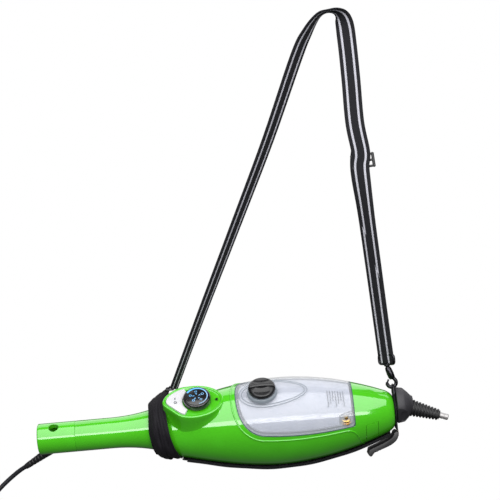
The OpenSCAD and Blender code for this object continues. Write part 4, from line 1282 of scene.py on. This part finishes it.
def hook():
    """D-ring, and the swivel hook with its eye and gate."""
    low, high = span("d_ring", UNIT)
    x, y = (low.x + high.x) / 2, (low.y + high.y) / 2
    r = (high.y - low.y) / 2 - 1.3
    half_ring = [(x, y + r * math.cos(math.radians(a)),
                  low.z + 1.3 + r * math.sin(math.radians(a))) for a in range(0, 181, 10)]
    first, last = Vector(half_ring[0]), Vector(half_ring[-1])
    straight = [tuple(last.lerp(first, k / 8)) for k in range(1, 8)]
    ring = wire("harness_ring", half_ring + straight, 1.3, closed=True, sides=5)
    settle(ring, UNIT, "casing", NICKEL, "steel", "d_ring", angle=60)

    low, high = span("snap_hook", UNIT)
    cx, cz, y = high.x - 7.7, low.z + 7.7, (low.y + high.y) / 2
    arc = [(cx + 6 * math.cos(math.radians(a)), y, cz + 6 * math.sin(math.radians(a)))
           for a in range(-170, 62, 8)]
    stem_top = (cx - 4, y, high.z - 3)
    pin = (cx - 5.9, y, cz - 0.6)
    arc += [(cx + 2.6, y, cz + 7.2), (cx + 1.2, y, cz + 11), (cx - 1.4, y, cz + 16), stem_top]
    body = wire("hook_bend", arc, 2.5, sides=5)
    foot = Vector((cx + 1.6, y, cz + 4.8))
    shank = turned("shank", [(0, 0), (0, 2.6), (1, 3.6), (3, 4.4), (8, 4.6), (13, 4.3), (16, 3.8),
                             (17.4, 2.8), (17.4, 0)], 32)
    moved(shank, foot, (Vector(stem_top) - foot).to_track_quat("Z", "Y").to_euler())
    swivel = turned("swivel", [(0, 0), (0, 2.6), (0.6, 3.6), (1.4, 4.1), (2.6, 4.1), (3.2, 3.4),
                               (3.6, 0)], 32, at=(stem_top[0], y, stem_top[2] - 0.4))
    fork = [moved(turned("cheek", [(1.8, 0), (1.8, 1.9), (2.5, 1.6), (2.5, 0)], 24), pin,
                  (math.radians(-90 * side), 0, 0)) for side in (-1, 1)]
    settle(joined("swivel_hook", body, shank, swivel, *fork), UNIT, "casing", NICKEL, "steel",
           "snap_hook", angle=50)
    lever = wire("lever", [pin, (cx - 5.2, y, cz + 1.2), (cx - 4.4, y, cz + 3),
                           (cx - 3.6, y, cz + 4.6)], 1.15, sides=4)
    barrel = turned("barrel", [(-1.5, 0), (-1.5, 1.35), (1.5, 1.35), (1.5, 0)], 24)
    moved(barrel, pin, (math.radians(90), 0, 0))
    settle(joined("hook_gate_lever", lever, barrel), UNIT, "gate", NICKEL, "steel", "hook_gate",
           angle=50)

    low, high = span("hook_eye", UNIT)
    half, slant = 13.4, math.radians(42)
    outline = rounded([(-half, low.z), (half, low.z), (half, high.z), (-half, high.z)], 4)
    middle = Vector(((low.x + high.x) / 2, (low.y + high.y) / 2, 0))
    eye = wire("strap_eye", [(middle.x - a * math.sin(slant), middle.y + a * math.cos(slant), b)
                             for a, b in outline], 1.7, closed=True, sides=5)
    settle(eye, UNIT, "casing", NICKEL, "steel", "hook_eye", angle=50)


# ------------------------------------------------------------------ finishes of the CAD nodes
NODE_FINISHES = (
    (GREEN, "pole_sleeve"),
    (BLACK, "cap_insert", "outlet_socket", "cord_clamp"),
    (DIAL_BLACK, "pointer_mark"),
    (GASKET, "cap_gasket"),
    (RED_SEAL, "connector_seal"),
    (COPPER, "steam_pipe", "wire_loom"),
    (CASTING, "boiler"),
    (STEEL, "dial_shaft", "switch_pin", "shell_screws", "thermostat", "thermal_fuse",
     "release_spring_left", "release_spring_right"),
    (BOARD, "circuit_board"),
    (WHITE, "switch_module", "terminal_block"),
    (PUMP, "pump", "dial_control"),
    (HOSE, "suction_hose", "pump_tube"),
)


def finish_nodes():
    for material, *names in NODE_FINISHES:
        for name in names:
            mesh = frame["nodes"][name].data
            mesh.materials.clear()
            mesh.materials.append(material)


# ------------------------------------------------------------------ light
def softbox(name, rise, reach, size, radiance):
    """Lamp on the viewer's side, a rise in degrees above the unit, aimed at it."""
    aim = Vector((-0.12, 0, -0.56))
    angle = math.radians(rise)
    place = aim + Vector((0, -math.cos(angle), math.sin(angle))) * reach
    data = bpy.data.lights.new(name, "AREA")
    data.shape = "RECTANGLE"
    data.size, data.size_y = size
    data.energy = radiance * math.pi * size[0] * size[1]
    lamp = bpy.data.objects.new(name, data)
    bpy.context.collection.objects.link(lamp)
    lamp.location = place
    lamp.rotation_euler = (Vector(aim) - Vector(place)).to_track_quat("-Z", "Y").to_euler()
    lamp.visible_camera = False


def light():
    """Bright strip at the viewer's height, a broad soft light above, and a white room."""
    softbox("front_strip", 10.5, 2.2, (4.0, 0.5), 6.5)
    softbox("overhead", 50, 2.0, (4.0, 2.65), 2.9)
    softbox("behind", 128, 2.0, (4.0, 1.8), 1.3)
    world = bpy.data.worlds.new("white_room")
    bpy.context.scene.world = world
    world.use_nodes = True
    tree = world.node_tree
    room = tree.nodes["Background"]
    room.inputs["Color"].default_value = (1, 1, 1, 1)
    room.inputs["Strength"].default_value = 0.08
    seen = tree.nodes.new("ShaderNodeBackground")
    seen.inputs["Color"].default_value = (1, 1, 1, 1)
    path = tree.nodes.new("ShaderNodeLightPath")
    mix = tree.nodes.new("ShaderNodeMixShader")
    tree.links.new(path.outputs["Is Camera Ray"], mix.inputs[0])
    tree.links.new(room.outputs[0], mix.inputs[1])
    tree.links.new(seen.outputs[0], mix.inputs[2])
    tree.links.new(mix.outputs[0], tree.nodes["World Output"].inputs["Surface"])
    bpy.context.scene.view_settings.view_transform = "Standard"


casing()
rear_cover()
release_buttons()
handle()
tank()
cap()
control_deck()
rocker()
dial()
steam_connector()
boot()
neck_belt()
strap()
belly_strap()
buckle()
hook()
finish_nodes()
light()
